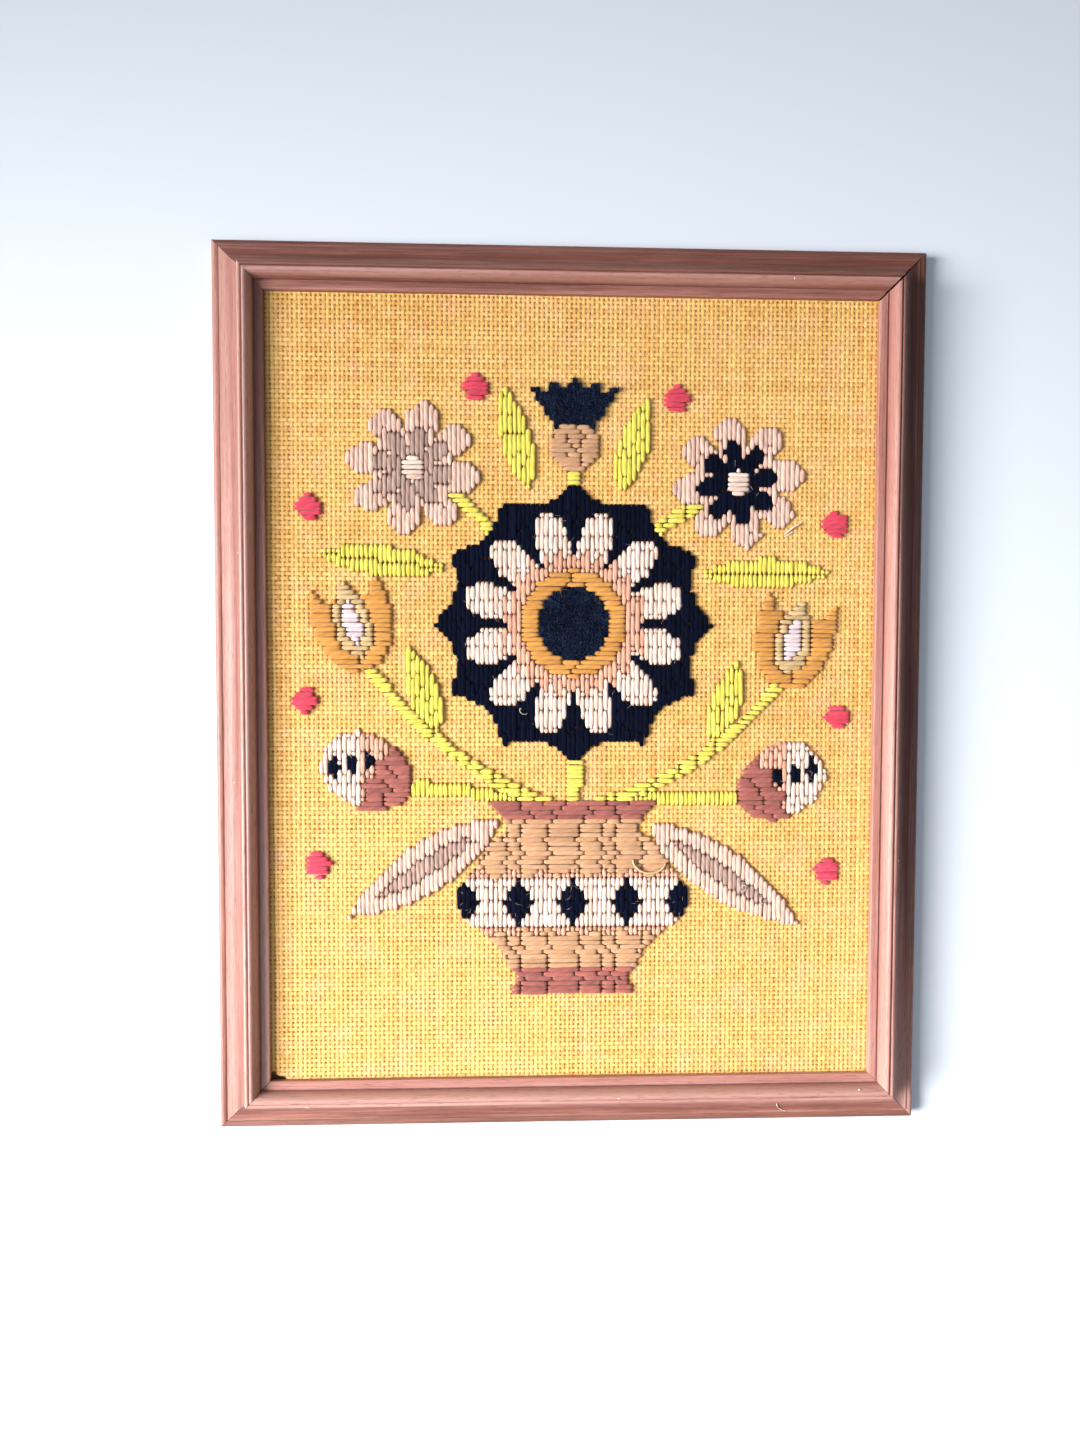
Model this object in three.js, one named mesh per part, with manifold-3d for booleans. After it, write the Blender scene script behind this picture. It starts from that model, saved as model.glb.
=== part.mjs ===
// A crewel embroidery panel in its wooden picture frame, lying on its back.
// Wool is worked on an even-weave cloth that is stretched over a board and held
// behind the lip of a mitred moulding. Millimetres, +Z out of the picture's face,
// +Y towards its top, and the origin under its middle on the back of the frame.

import * as THREE from 'three';
import { mergeVertices } from 'three/addons/utils/BufferGeometryUtils.js';
import Module from 'manifold-3d';

const wasm = await Module();
wasm.setup();

// Opening of the frame: a moulding made up for an 11 by 14 inch picture
const INCH = 25.4;
const LIP_WIDTH = INCH / 4;
const PICTURE_WIDTH = 11 * INCH;
const PICTURE_HEIGHT = 14 * INCH;
const SIGHT_WIDTH = PICTURE_WIDTH - 2 * LIP_WIDTH;
const SIGHT_HEIGHT = PICTURE_HEIGHT - 2 * LIP_WIDTH;

// Moulding, measured outwards from the sight edge and up from the back
const MOULDING_WIDTH = 24;
const REBATE_WIDTH = LIP_WIDTH + 0.8;
const SIDE_HEIGHT = 5.6;
const LIP_TOP = 16;
const LIP_FLAT = 3.4;
const QUIRK_DEPTH = 0.8;
const CREST_HEIGHT = 22;
const ROLL_END = 7.4;
const GROOVE_START = 7.9;
const GROOVE_END = 8.3;
const GROOVE_DEPTH = 0.7;
const BEAD_END = 9.9;
const BEAD_DROP = 0.1;
const ARRIS_AT = 20.5;
const ARRIS_HEIGHT = 8.2;
const EDGE_ROUND = 0.5;

// What lies in the rebate, from the front down
const FIT_GAP = 0.3;
const CLOTH_FRONT = 13;
const CLOTH_THICKNESS = 1.5;
const BOARD_THICKNESS = 3;

// Wool that stands on the cloth
const WORK_BASE = CLOTH_FRONT + FIT_GAP;
const CROWN = 0.6;
const FLAT_WORK = 1.3;
const FULL_WORK = 1.6;
const PILE_WORK = 2.6;
const STEM_WIDTH = 5.4;

// Finishes
const WOOD_ROUGHNESS = 0.55;
const CLOTH_ROUGHNESS = 0.9;

const COLOURS = {
  wood: 0x8a5a44,
  cloth: 0xd9a33c,
  board: 0xb59a72,
  navy: 0x1c2233,
  cream: 0xe9dcc4,
  camel: 0x9c7748,
  rust: 0x8a4a3a,
  green: 0xb3b82a,
  taupe: 0xb08a7c,
  mushroom: 0x6f5a4e,
  coral: 0xd6384a,
  ochre: 0xbf8a2e,
  beige: 0xcbb489,
  lilac: 0xd6cbd6,
};

const TURN = 2 * Math.PI;
const group = new THREE.Group();

function finish(colour, roughness) {
  return new THREE.MeshStandardMaterial({ color: colour, roughness: roughness, metalness: 0 });
}

function addMesh(name, geometry, colour, roughness) {
  const mesh = new THREE.Mesh(geometry, finish(colour, roughness));
  mesh.name = name;
  group.add(mesh);
  return mesh;
}

// Quarter of an ellipse from one point to another: hollow ones leave the first point
// level and reach the second upright, and full ones do the reverse.
function quarter(from, to, hollow, steps) {
  const points = [];
  for (let i = 1; i <= steps; i += 1) {
    const angle = (i / steps) * (Math.PI / 2);
    const across = hollow ? Math.sin(angle) : 1 - Math.cos(angle);
    const up = hollow ? 1 - Math.cos(angle) : Math.sin(angle);
    points.push(new THREE.Vector2(
      from.x + (to.x - from.x) * across,
      from.y + (to.y - from.y) * up,
    ));
  }
  return points;
}

// Section of the moulding: lip, quirk, roll, groove, small bead, long scoop, arris and side band
function mouldingSection() {
  const at = (x, y) => new THREE.Vector2(x, y);
  const lipUnder = CLOTH_FRONT + FIT_GAP;
  const quirkFloor = LIP_TOP - QUIRK_DEPTH;
  const quirkEnd = at(LIP_FLAT + QUIRK_DEPTH, quirkFloor);
  const rollTop = at(ROLL_END, CREST_HEIGHT);
  const grooveIn = at(GROOVE_START, CREST_HEIGHT - GROOVE_DEPTH);
  const grooveOut = at(GROOVE_END, CREST_HEIGHT - GROOVE_DEPTH);
  const beadTop = at((GROOVE_END + BEAD_END) / 2, CREST_HEIGHT - BEAD_DROP);
  const beadOut = at(BEAD_END, CREST_HEIGHT - GROOVE_DEPTH);
  const arris = at(ARRIS_AT, ARRIS_HEIGHT);
  const bandStart = at(ARRIS_AT + EDGE_ROUND / 2, ARRIS_HEIGHT - 2 * EDGE_ROUND);
  const bandTop = at((ARRIS_AT + MOULDING_WIDTH) / 2, ARRIS_HEIGHT - EDGE_ROUND);
  const bandEnd = at(MOULDING_WIDTH, SIDE_HEIGHT);
  return [
    at(REBATE_WIDTH, 0),
    at(REBATE_WIDTH, lipUnder),
    at(0, lipUnder),
    at(0, LIP_TOP - EDGE_ROUND),
    at(EDGE_ROUND, LIP_TOP),
    at(LIP_FLAT, LIP_TOP),
    at(LIP_FLAT + EDGE_ROUND / 2, quirkFloor),
    quirkEnd,
    ...quarter(quirkEnd, rollTop, false, 7),
    ...quarter(rollTop, grooveIn, true, 3),
    grooveOut,
    ...quarter(grooveOut, beadTop, false, 3),
    ...quarter(beadTop, beadOut, true, 3),
    ...quarter(beadOut, arris, false, 10),
    bandStart,
    ...quarter(bandStart, bandTop, false, 3),
    ...quarter(bandTop, bandEnd, true, 4),
    at(MOULDING_WIDTH, EDGE_ROUND),
    at(MOULDING_WIDTH - EDGE_ROUND, 0),
  ];
}

// One side of the frame, its outer side towards +Y, mitred at both ends. reach is the
// distance from the middle to the sight edge, and half is half the sight edge's length.
function mitredRail(reach, half) {
  const section = mouldingSection().reverse();
  const mitreGap = (FIT_GAP / 2) * Math.SQRT2;
  const count = section.length;
  const positions = [];
  for (const end of [-1, 1]) {
    for (const point of section) {
      positions.push(end * (half + point.x - mitreGap), reach + point.x, point.y);
    }
  }
  const index = [];
  for (let i = 0; i < count; i += 1) {
    const j = (i + 1) % count;
    index.push(i, j, count + i);
    index.push(j, count + j, count + i);
  }
  for (const [a, b, c] of THREE.ShapeUtils.triangulateShape(section, [])) {
    index.push(a, c, b);
    index.push(count + a, count + b, count + c);
  }
  const geometry = new THREE.BufferGeometry();
  geometry.setAttribute('position', new THREE.Float32BufferAttribute(positions, 3));
  geometry.setIndex(index);
  return geometry;
}

function addFrame() {
  const sides = [
    { name: 'rail_top', reach: SIGHT_HEIGHT / 2, half: SIGHT_WIDTH / 2, quarters: 0 },
    { name: 'stile_left', reach: SIGHT_WIDTH / 2, half: SIGHT_HEIGHT / 2, quarters: 1 },
    { name: 'rail_bottom', reach: SIGHT_HEIGHT / 2, half: SIGHT_WIDTH / 2, quarters: 2 },
    { name: 'stile_right', reach: SIGHT_WIDTH / 2, half: SIGHT_HEIGHT / 2, quarters: 3 },
  ];
  for (const side of sides) {
    const rail = addMesh(side.name, mitredRail(side.reach, side.half), COLOURS.wood, WOOD_ROUGHNESS);
    rail.rotation.z = side.quarters * (TURN / 4);
  }
}

function addFlatLayers() {
  const cloth = new THREE.BoxGeometry(PICTURE_WIDTH, PICTURE_HEIGHT, CLOTH_THICKNESS);
  const clothMesh = addMesh('ground_cloth', cloth, COLOURS.cloth, CLOTH_ROUGHNESS);
  clothMesh.position.z = CLOTH_FRONT - CLOTH_THICKNESS / 2;
  const board = new THREE.BoxGeometry(PICTURE_WIDTH, PICTURE_HEIGHT, BOARD_THICKNESS);
  const boardMesh = addMesh('backing_board', board, COLOURS.board, CLOTH_ROUGHNESS);
  boardMesh.position.z = CLOTH_FRONT - CLOTH_THICKNESS - FIT_GAP - BOARD_THICKNESS / 2;
}

// Outline of a flower seen face on. The edge swings from low to high once a petal:
// pointed petals come to a tip, and the others are round with a sharp notch between.
function flower({ x, y, petals, low, high, turn, pointed, steps }) {
  const tipSharpness = 0.9;
  const petalRoundness = 0.55;
  const outline = [];
  for (let i = 0; i < petals * steps; i += 1) {
    const swing = Math.abs(Math.sin((Math.PI * i) / steps));
    const share = pointed ? 1 - swing ** tipSharpness : swing ** petalRoundness;
    const radius = low + (high - low) * share;
    const angle = turn + (TURN * i) / (petals * steps);
    outline.push(new THREE.Vector2(x + radius * Math.cos(angle), y + radius * Math.sin(angle)));
  }
  return outline;
}

function disc(x, y, radius, sides) {
  const outline = [];
  for (let i = 0; i < sides; i += 1) {
    const angle = (TURN * i) / sides;
    outline.push(new THREE.Vector2(x + radius * Math.cos(angle), y + radius * Math.sin(angle)));
  }
  return outline;
}

// Outline of a pointed leaf from its base to its tip, widest a little below its middle
function leaf({ fromX, fromY, toX, toY, half }) {
  const steps = 9;
  const belly = 0.9;
  const fullness = 0.8;
  const base = new THREE.Vector2(fromX, fromY);
  const along = new THREE.Vector2(toX - fromX, toY - fromY);
  const across = new THREE.Vector2(-along.y, along.x).normalize();
  const edge = (side) => {
    const points = [];
    for (let i = 1; i < steps; i += 1) {
      const t = i / steps;
      const width = half * Math.sin(Math.PI * t ** belly) ** fullness;
      points.push(base.clone().addScaledVector(along, t).addScaledVector(across, side * width));
    }
    return points;
  };
  return [base, ...edge(-1), new THREE.Vector2(toX, toY), ...edge(1).reverse()];
}

// A band of even width along a quadratic curve
function stem({ fromX, fromY, overX, overY, toX, toY }) {
  const curve = new THREE.QuadraticBezierCurve(
    new THREE.Vector2(fromX, fromY),
    new THREE.Vector2(overX, overY),
    new THREE.Vector2(toX, toY),
  );
  const steps = 8;
  const edge = (side) => {
    const points = [];
    for (let i = 0; i <= steps; i += 1) {
      const way = curve.getTangent(i / steps);
      const across = new THREE.Vector2(-way.y, way.x);
      points.push(curve.getPoint(i / steps).addScaledVector(across, (side * STEM_WIDTH) / 2));
    }
    return points;
  };
  return [...edge(-1), ...edge(1).reverse()];
}

// A shape that is the same on both sides, from rows of [half width, height] listed from
// its foot up, then turned about its middle and moved
function mirrored(rows, x, y, degrees) {
  const right = rows.map(([half, up]) => new THREE.Vector2(half, up));
  const left = rows.filter(([half]) => half > 0).map(([half, up]) => new THREE.Vector2(-half, up));
  const outline = [...right, ...left.reverse()];
  const centre = new THREE.Vector2(0, 0);
  const shift = new THREE.Vector2(x, y);
  return outline.map((point) => point.rotateAround(centre, (degrees * TURN) / 360).add(shift));
}

// Half width of the vase at each height, blended smoothly from row to row
const VASE_ROWS = [
  { up: -134, half: 27 },
  { up: -126, half: 24 },
  { up: -121, half: 29 },
  { up: -92, half: 52 },
  { up: -70, half: 40 },
  { up: -60, half: 28 },
  { up: -56, half: 31 },
  { up: -48, half: 37 },
];

function vaseHalf(up) {
  const above = VASE_ROWS.findIndex((row) => row.up >= up);
  if (above <= 0) {
    return VASE_ROWS[0].half;
  }
  const low = VASE_ROWS[above - 1];
  const high = VASE_ROWS[above];
  const t = (up - low.up) / (high.up - low.up);
  const smooth = t * t * (3 - 2 * t);
  return low.half + (high.half - low.half) * smooth;
}

// The part of the vase between two heights. A zigzag edge swings up and down by rise.
function vaseSlice({ low, high, lowRise, highRise }) {
  const steps = 5;
  const teeth = 7;
  const side = (sign) => {
    const points = [];
    for (let i = 0; i <= steps; i += 1) {
      const up = low + ((high - low) * i) / steps;
      points.push(new THREE.Vector2(sign * vaseHalf(up), up));
    }
    return points;
  };
  const zigzag = (level, rise, sign) => {
    const points = [];
    for (let i = 1; rise > 0 && i < 2 * teeth; i += 1) {
      const share = (2 * i) / (2 * teeth) - 1;
      const up = level + (i % 2 === 1 ? rise : 0);
      points.push(new THREE.Vector2(sign * share * vaseHalf(level), up));
    }
    return points;
  };
  return [
    ...zigzag(low, lowRise, 1),
    ...side(1),
    ...zigzag(high, highRise, -1),
    ...side(-1).reverse(),
  ];
}

// Moves every edge of an outline outwards by the same distance. At a sharp corner the
// point moves no further than the distance over sharpest.
function grown(outline, by) {
  const sign = THREE.ShapeUtils.area(outline) > 0 ? 1 : -1;
  const sharpest = 0.35;
  return outline.map((point, i) => {
    const before = outline[(i + outline.length - 1) % outline.length];
    const after = outline[(i + 1) % outline.length];
    const into = point.clone().sub(before).normalize();
    const out = after.clone().sub(point).normalize();
    const normal = new THREE.Vector2(into.y + out.y, -into.x - out.x).normalize();
    const reach = Math.max(sharpest, normal.x * into.y - normal.y * into.x);
    return point.clone().addScaledVector(normal, (sign * by) / reach);
  });
}

function toSolid(geometry) {
  const bare = geometry.clone();
  bare.deleteAttribute('normal');
  bare.deleteAttribute('uv');
  const merged = mergeVertices(bare, 1e-4);
  return new wasm.Manifold(new wasm.Mesh({
    numProp: 3,
    vertProperties: new Float32Array(merged.attributes.position.array),
    triVerts: new Uint32Array(merged.index.array),
  }));
}

function fromSolid(solid) {
  const mesh = solid.getMesh();
  const geometry = new THREE.BufferGeometry();
  geometry.setAttribute('position', new THREE.BufferAttribute(mesh.vertProperties, 3));
  geometry.setIndex(new THREE.BufferAttribute(mesh.triVerts, 1));
  return geometry;
}

// A pad of wool over an outline: flat below, with its upper edge drawn in
function pad(outline, rise) {
  const full = new THREE.ExtrudeGeometry(new THREE.Shape(outline), {
    depth: rise,
    bevelThickness: CROWN,
    bevelSize: CROWN,
    bevelOffset: -CROWN,
    bevelSegments: 1,
  });
  full.translate(0, 0, WORK_BASE - CROWN);
  const under = new THREE.BoxGeometry(2 * SIGHT_WIDTH, 2 * SIGHT_HEIGHT, 2 * CROWN);
  under.translate(0, 0, WORK_BASE - CROWN);
  return toSolid(full).subtract(toSolid(under));
}

// Room for a pad, with the gap that keeps its neighbours clear of it
function cutter(outline) {
  const depth = 4 * PILE_WORK;
  const room = new THREE.ExtrudeGeometry(new THREE.Shape(grown(outline, FIT_GAP)), {
    depth: depth,
    bevelEnabled: false,
  });
  room.translate(0, 0, WORK_BASE - depth / 2);
  return toSolid(room);
}

// Worked motifs from front to back: each is cut back where an earlier one covers it
const motifs = [];

function work(name, outline, rise, colour) {
  motifs.push({ name: name, outline: outline, rise: rise, colour: colour });
}

const DAISY = { x: 0, y: 30, petals: 12, turn: 0 };
const DAISY_EYE = 15.5;
const DAISY_RING = 23.5;
const DAISY_PETALS = { low: 26, high: 50, pointed: false, steps: 8 };
const DAISY_BACK = { low: 53.5, high: 61, pointed: true, steps: 6 };

function workDaisy() {
  const { x, y } = DAISY;
  work('daisy_eye', disc(x, y, DAISY_EYE, 28), PILE_WORK, COLOURS.navy);
  work('daisy_ring', disc(x, y, DAISY_RING, 32), FULL_WORK, COLOURS.ochre);
  work('daisy_petals', flower({ ...DAISY, ...DAISY_PETALS }), FULL_WORK, COLOURS.cream);
  work('daisy_back', flower({ ...DAISY, ...DAISY_BACK }), FLAT_WORK, COLOURS.navy);
}

const ASTERS = [
  { name: 'aster_left', x: -70, y: 97, turn: 0.2 },
  { name: 'aster_right', x: 72, y: 92, turn: 0.55 },
];

const ASTER_EYE = 5.4;
const ASTER_HEART = { low: 8, high: 18 };
const ASTER_PETALS = { low: 16, high: 29 };

function workAster({ name, x, y, turn }) {
  const shape = { x: x, y: y, petals: 8, turn: turn, pointed: false, steps: 6 };
  work(`${name}_eye`, disc(x, y, ASTER_EYE, 14), FULL_WORK, COLOURS.cream);
  work(`${name}_heart`, flower({ ...shape, ...ASTER_HEART }), FULL_WORK, COLOURS.mushroom);
  work(`${name}_petals`, flower({ ...shape, ...ASTER_PETALS }), FLAT_WORK, COLOURS.taupe);
}

const TULIPS = [
  { name: 'tulip_left', x: -96, y: 28, lean: 14 },
  { name: 'tulip_right', x: 97, y: 21, lean: -12 },
];
const TULIP_CUP = [[0, -19], [8, -17.5], [14, -11], [17, -1], [17.5, 9], [15, 21], [9, 12], [0, 15]];
const TULIP_PETAL = [[0, -14], [6, -9], [8.5, -1], [7, 9], [0, 21]];
const TULIP_HEART = [[0, -8], [3.2, -4], [3.8, 2], [2.4, 8], [0, 13]];

function workTulip({ name, x, y, lean }) {
  work(`${name}_heart`, mirrored(TULIP_HEART, x, y, lean), FULL_WORK, COLOURS.lilac);
  work(`${name}_petal`, mirrored(TULIP_PETAL, x, y, lean), FULL_WORK, COLOURS.beige);
  work(`${name}_cup`, mirrored(TULIP_CUP, x, y, lean), FULL_WORK, COLOURS.ochre);
}

const BUDS = [
  { name: 'bud_left', x: -85, y: -38, lean: 62 },
  { name: 'bud_right', x: 87, y: -43, lean: -60 },
];
const BUD_SEED = [[0, -4], [11, -3], [16, 6], [14.5, 17], [8, 25], [0, 27]];
const BUD_CUP = [[0, -15], [6, -13], [13, -6], [16, 3], [10, 1], [5, 6], [0, 1]];

function workBud({ name, x, y, lean }) {
  work(`${name}_cup`, mirrored(BUD_CUP, x, y, lean), FULL_WORK, COLOURS.rust);
  work(`${name}_seed`, mirrored(BUD_SEED, x, y, lean), FULL_WORK, COLOURS.cream);
}

const THISTLE = { x: 0, y: 109, lean: 0 };
const THISTLE_GLOBE = [[0, -13], [7, -11], [11, -4], [10, 3], [5, 7], [0, 7]];
const THISTLE_TUFT = [[0, 4], [8, 5], [11, 11], [19, 23], [12, 21], [9, 27], [4, 22], [0, 28]];

function workThistle({ x, y, lean }) {
  work('thistle_globe', mirrored(THISTLE_GLOBE, x, y, lean), FULL_WORK, COLOURS.camel);
  work('thistle_tuft', mirrored(THISTLE_TUFT, x, y, lean), PILE_WORK, COLOURS.navy);
}

const BERRY_RADIUS = 5.6;
const BERRIES = [
  { x: -43, y: 132 },
  { x: 45, y: 128 },
  { x: -115, y: 80 },
  { x: 116, y: 74 },
  { x: -117, y: -4 },
  { x: 118, y: -11 },
  { x: -112, y: -76 },
  { x: 114, y: -80 },
];

function workBerries() {
  BERRIES.forEach(({ x, y }, i) => {
    work(`berry_${i + 1}`, disc(x, y, BERRY_RADIUS, 14), FULL_WORK, COLOURS.coral);
  });
}

const VASE_PIECES = [
  { name: 'vase_rim', low: -55, high: -48, lowRise: 0, highRise: 0, colour: COLOURS.rust },
  { name: 'vase_band', low: -109, high: -84, lowRise: 6, highRise: 6, colour: COLOURS.cream },
  { name: 'vase_foot', low: -134, high: -122, lowRise: 0, highRise: 0, colour: COLOURS.rust },
  { name: 'vase_shoulder', low: -84, high: -55, lowRise: 0, highRise: 0, colour: COLOURS.camel },
  { name: 'vase_belly', low: -122, high: -103, lowRise: 0, highRise: 0, colour: COLOURS.camel },
];

function workVase() {
  for (const piece of VASE_PIECES) {
    work(piece.name, vaseSlice(piece), FULL_WORK, piece.colour);
  }
}

const STEMS = [
  { name: 'stem_daisy', fromX: 0, fromY: -50, overX: 2, overY: -38, toX: 0, toY: -20 },
  { name: 'stem_tulip_left', fromX: -10, fromY: -50, overX: -56, overY: -34, toX: -91, toY: 12 },
  { name: 'stem_tulip_right', fromX: 10, fromY: -50, overX: 58, overY: -38, toX: 93, toY: 5 },
  { name: 'stem_bud_left', fromX: -26, fromY: -50, overX: -40, overY: -42, toX: -76, toY: -42 },
  { name: 'stem_bud_right', fromX: 26, fromY: -50, overX: 42, overY: -44, toX: 78, toY: -48 },
  { name: 'stem_aster_left', fromX: -36, fromY: 70, overX: -44, overY: 82, toX: -60, toY: 88 },
  { name: 'stem_aster_right', fromX: 36, fromY: 70, overX: 46, overY: 79, toX: 62, toY: 84 },
  { name: 'stem_thistle', fromX: 0, fromY: 80, overX: 1, overY: 90, toX: 0, toY: 98 },
];

function workStems() {
  for (const row of STEMS) {
    work(row.name, stem(row), FLAT_WORK, COLOURS.green);
  }
}

const PLUMES = [
  { name: 'plume_left', fromX: -33, fromY: -57, toX: -99, toY: -99, half: 11 },
  { name: 'plume_right', fromX: 34, fromY: -59, toX: 101, toY: -104, half: 11 },
];
const PLUME_HEART = { start: 0.16, end: 0.8, half: 3.6 };

function workPlume({ name, ...shape }) {
  const { fromX, fromY, toX, toY } = shape;
  const { start, end, half } = PLUME_HEART;
  const heart = {
    fromX: fromX + (toX - fromX) * start,
    fromY: fromY + (toY - fromY) * start,
    toX: fromX + (toX - fromX) * end,
    toY: fromY + (toY - fromY) * end,
    half: half,
  };
  work(`${name}_heart`, leaf(heart), FULL_WORK, COLOURS.mushroom);
  work(`${name}_vane`, leaf(shape), FLAT_WORK, COLOURS.taupe);
}

const LEAVES = [
  { fromX: -56, fromY: 54, toX: -113, toY: 60, half: 6.4 },
  { fromX: 56, fromY: 52, toX: 115, toY: 53, half: 6.4 },
  { fromX: -20, fromY: 88, toX: -31, toY: 133, half: 6.4 },
  { fromX: 20, fromY: 87, toX: 32, toY: 129, half: 6.4 },
  { fromX: -60, fromY: -19, toX: -72, toY: 20, half: 6.4 },
  { fromX: 62, fromY: -24, toX: 73, toY: 14, half: 6.4 },
];

function workLeaves() {
  LEAVES.forEach((row, i) => {
    work(`leaf_${i + 1}`, leaf(row), FLAT_WORK, COLOURS.green);
  });
}

function overlap(a, b) {
  const boxA = new THREE.Box2().setFromPoints(a).expandByScalar(FIT_GAP);
  return boxA.intersectsBox(new THREE.Box2().setFromPoints(b));
}

function addMotifs() {
  motifs.forEach((motif, i) => {
    let solid = pad(motif.outline, motif.rise);
    for (const front of motifs.slice(0, i)) {
      if (overlap(motif.outline, front.outline)) {
        solid = solid.subtract(cutter(front.outline));
      }
    }
    addMesh(motif.name, fromSolid(solid), motif.colour, CLOTH_ROUGHNESS);
  });
}

addFrame();
addFlatLayers();
workDaisy();
ASTERS.forEach(workAster);
TULIPS.forEach(workTulip);
BUDS.forEach(workBud);
workThistle(THISTLE);
workBerries();
workVase();
workStems();
PLUMES.forEach(workPlume);
workLeaves();
addMotifs();

export default group;
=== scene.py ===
# %% [markdown]
# # A crewel embroidery panel in its wooden frame
#
# The panel is a square-woven mustard cloth, worked in wool and stretched behind the lip of
# a mitred wooden moulding. It lies on its back, and the camera looks down on it. The solids
# of the frame, the cloth and each worked motif come ready at their real size. This script
# gives each of them its real surface: planed wood, woven threads and wool stitches.

# %% Load the solids and keep their box
import math
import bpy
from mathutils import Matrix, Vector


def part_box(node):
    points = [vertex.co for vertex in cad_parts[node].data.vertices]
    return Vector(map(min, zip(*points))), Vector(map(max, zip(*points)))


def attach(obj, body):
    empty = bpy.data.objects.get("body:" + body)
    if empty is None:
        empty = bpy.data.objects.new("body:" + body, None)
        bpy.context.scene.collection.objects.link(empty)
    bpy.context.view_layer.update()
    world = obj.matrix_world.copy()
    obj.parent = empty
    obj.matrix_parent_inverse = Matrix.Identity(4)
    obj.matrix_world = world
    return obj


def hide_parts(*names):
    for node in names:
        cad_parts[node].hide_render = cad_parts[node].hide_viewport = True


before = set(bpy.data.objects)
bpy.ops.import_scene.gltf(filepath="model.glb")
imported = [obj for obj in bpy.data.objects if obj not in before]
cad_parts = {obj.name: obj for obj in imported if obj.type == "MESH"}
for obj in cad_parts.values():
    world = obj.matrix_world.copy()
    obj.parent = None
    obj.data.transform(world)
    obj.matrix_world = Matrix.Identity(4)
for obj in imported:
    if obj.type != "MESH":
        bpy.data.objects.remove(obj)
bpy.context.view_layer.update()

from fnmatch import fnmatch

import bpy
import numpy as np
from mathutils import Euler, Vector

MM = 0.001
rng = np.random.default_rng(14)
print("nodes:", len(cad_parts))

# %% [markdown]
# ## Sizes
#
# Every place is worked out from the solids, so nothing has to be fitted by eye. The sight
# edges are the inner edges of the moulding, and the wool stands on the cloth's front.
# Lengths are in millimetres here, and become metres when a mesh is made.

# %% Measure the solids
def box_mm(node):
    """Lowest and highest corner of a solid, in millimetres."""
    low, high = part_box(node)
    return np.array(low) / MM, np.array(high) / MM


CLOTH_LOW, CLOTH_HIGH = box_mm("ground_cloth")
CLOTH_TOP = CLOTH_HIGH[2]
SIGHT_X = -box_mm("stile_left")[1][0]
SIGHT_Y = box_mm("rail_top")[0][1]
OUTER_Y, CREST_TOP = box_mm("rail_top")[1][1:]
print("opening", 2 * SIGHT_X, "by", 2 * SIGHT_Y, "cloth front at", CLOTH_TOP)

# %% [markdown]
# ## Camera and light
#
# The camera stands half a metre above the panel, a little to the left of its middle, and
# looks almost straight down. A frame's four corners in a photograph fix such a camera
# completely: with the opening's size known, only one place and one turn fit them. The
# light is one broad, low window to the lower left, as the lit and shaded slopes of the
# moulding show, with pale light from all round to fill the shadows.

# %% Camera
CAMERA_PLACE = (-0.03615, 0.00987, 0.49673)
CAMERA_TURN = (-2.633, -2.527, 0.126)
LENS, SENSOR = 27.5, 36.0

camera_data = bpy.data.cameras.new("camera")
camera_data.lens = LENS
camera_data.sensor_width = SENSOR
camera = bpy.data.objects.new("camera", camera_data)
camera.location = CAMERA_PLACE
camera.rotation_euler = Euler([math.radians(a) for a in CAMERA_TURN], "XYZ")
bpy.context.scene.collection.objects.link(camera)
bpy.context.scene.camera = camera
print("camera", tuple(round(v, 3) for v in camera.location))

# %% Lights and the tone of the picture
LIGHTS = {
    "window_light": {
        "place": (-1.45, -0.30, 1.08),
        "aim": (0.10, -0.60, 0.0),
        "size": 1.0,
        "power": 22,
        "spread": 68,
        "colour": (1.0, 0.96, 0.925),
    },
    "fill_light": {
        "place": (-0.15, -0.30, 1.35),
        "aim": (0.0, -0.25, 0.0),
        "size": 1.2,
        "power": 3.4,
        "spread": 150,
        "colour": (0.96, 0.97, 1.0),
    },
}
SKY_COLOUR, SKY_STRENGTH = (0.80, 0.89, 1.0, 1.0), 0.17


def area_light(name, row):
    """A square light that looks from its place to its aim. A narrow spread makes it fade
    away from its aim, as light through a window does."""
    data = bpy.data.lights.new(name, "AREA")
    data.size = row["size"]
    data.energy = row["power"]
    data.color = row["colour"]
    data.spread = math.radians(row["spread"])
    light = bpy.data.objects.new(name, data)
    light.location = row["place"]
    way = Vector(row["aim"]) - Vector(row["place"])
    light.rotation_euler = way.to_track_quat("-Z", "Y").to_euler()
    bpy.context.scene.collection.objects.link(light)


for name, row in LIGHTS.items():
    area_light(name, row)
world = bpy.data.worlds.new("studio")
world.use_nodes = True
sky = world.node_tree.nodes["Background"]
sky.inputs["Color"].default_value = SKY_COLOUR
sky.inputs["Strength"].default_value = SKY_STRENGTH
bpy.context.scene.world = world
bpy.context.scene.view_settings.view_transform = "Standard"
print("lights", *LIGHTS)

# %% [markdown]
# ## Arrays into meshes
#
# All new shapes are worked out as whole arrays of points and faces. foreach_set copies an
# array into a mesh in one go, which stays quick for hundreds of thousands of faces.

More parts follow.
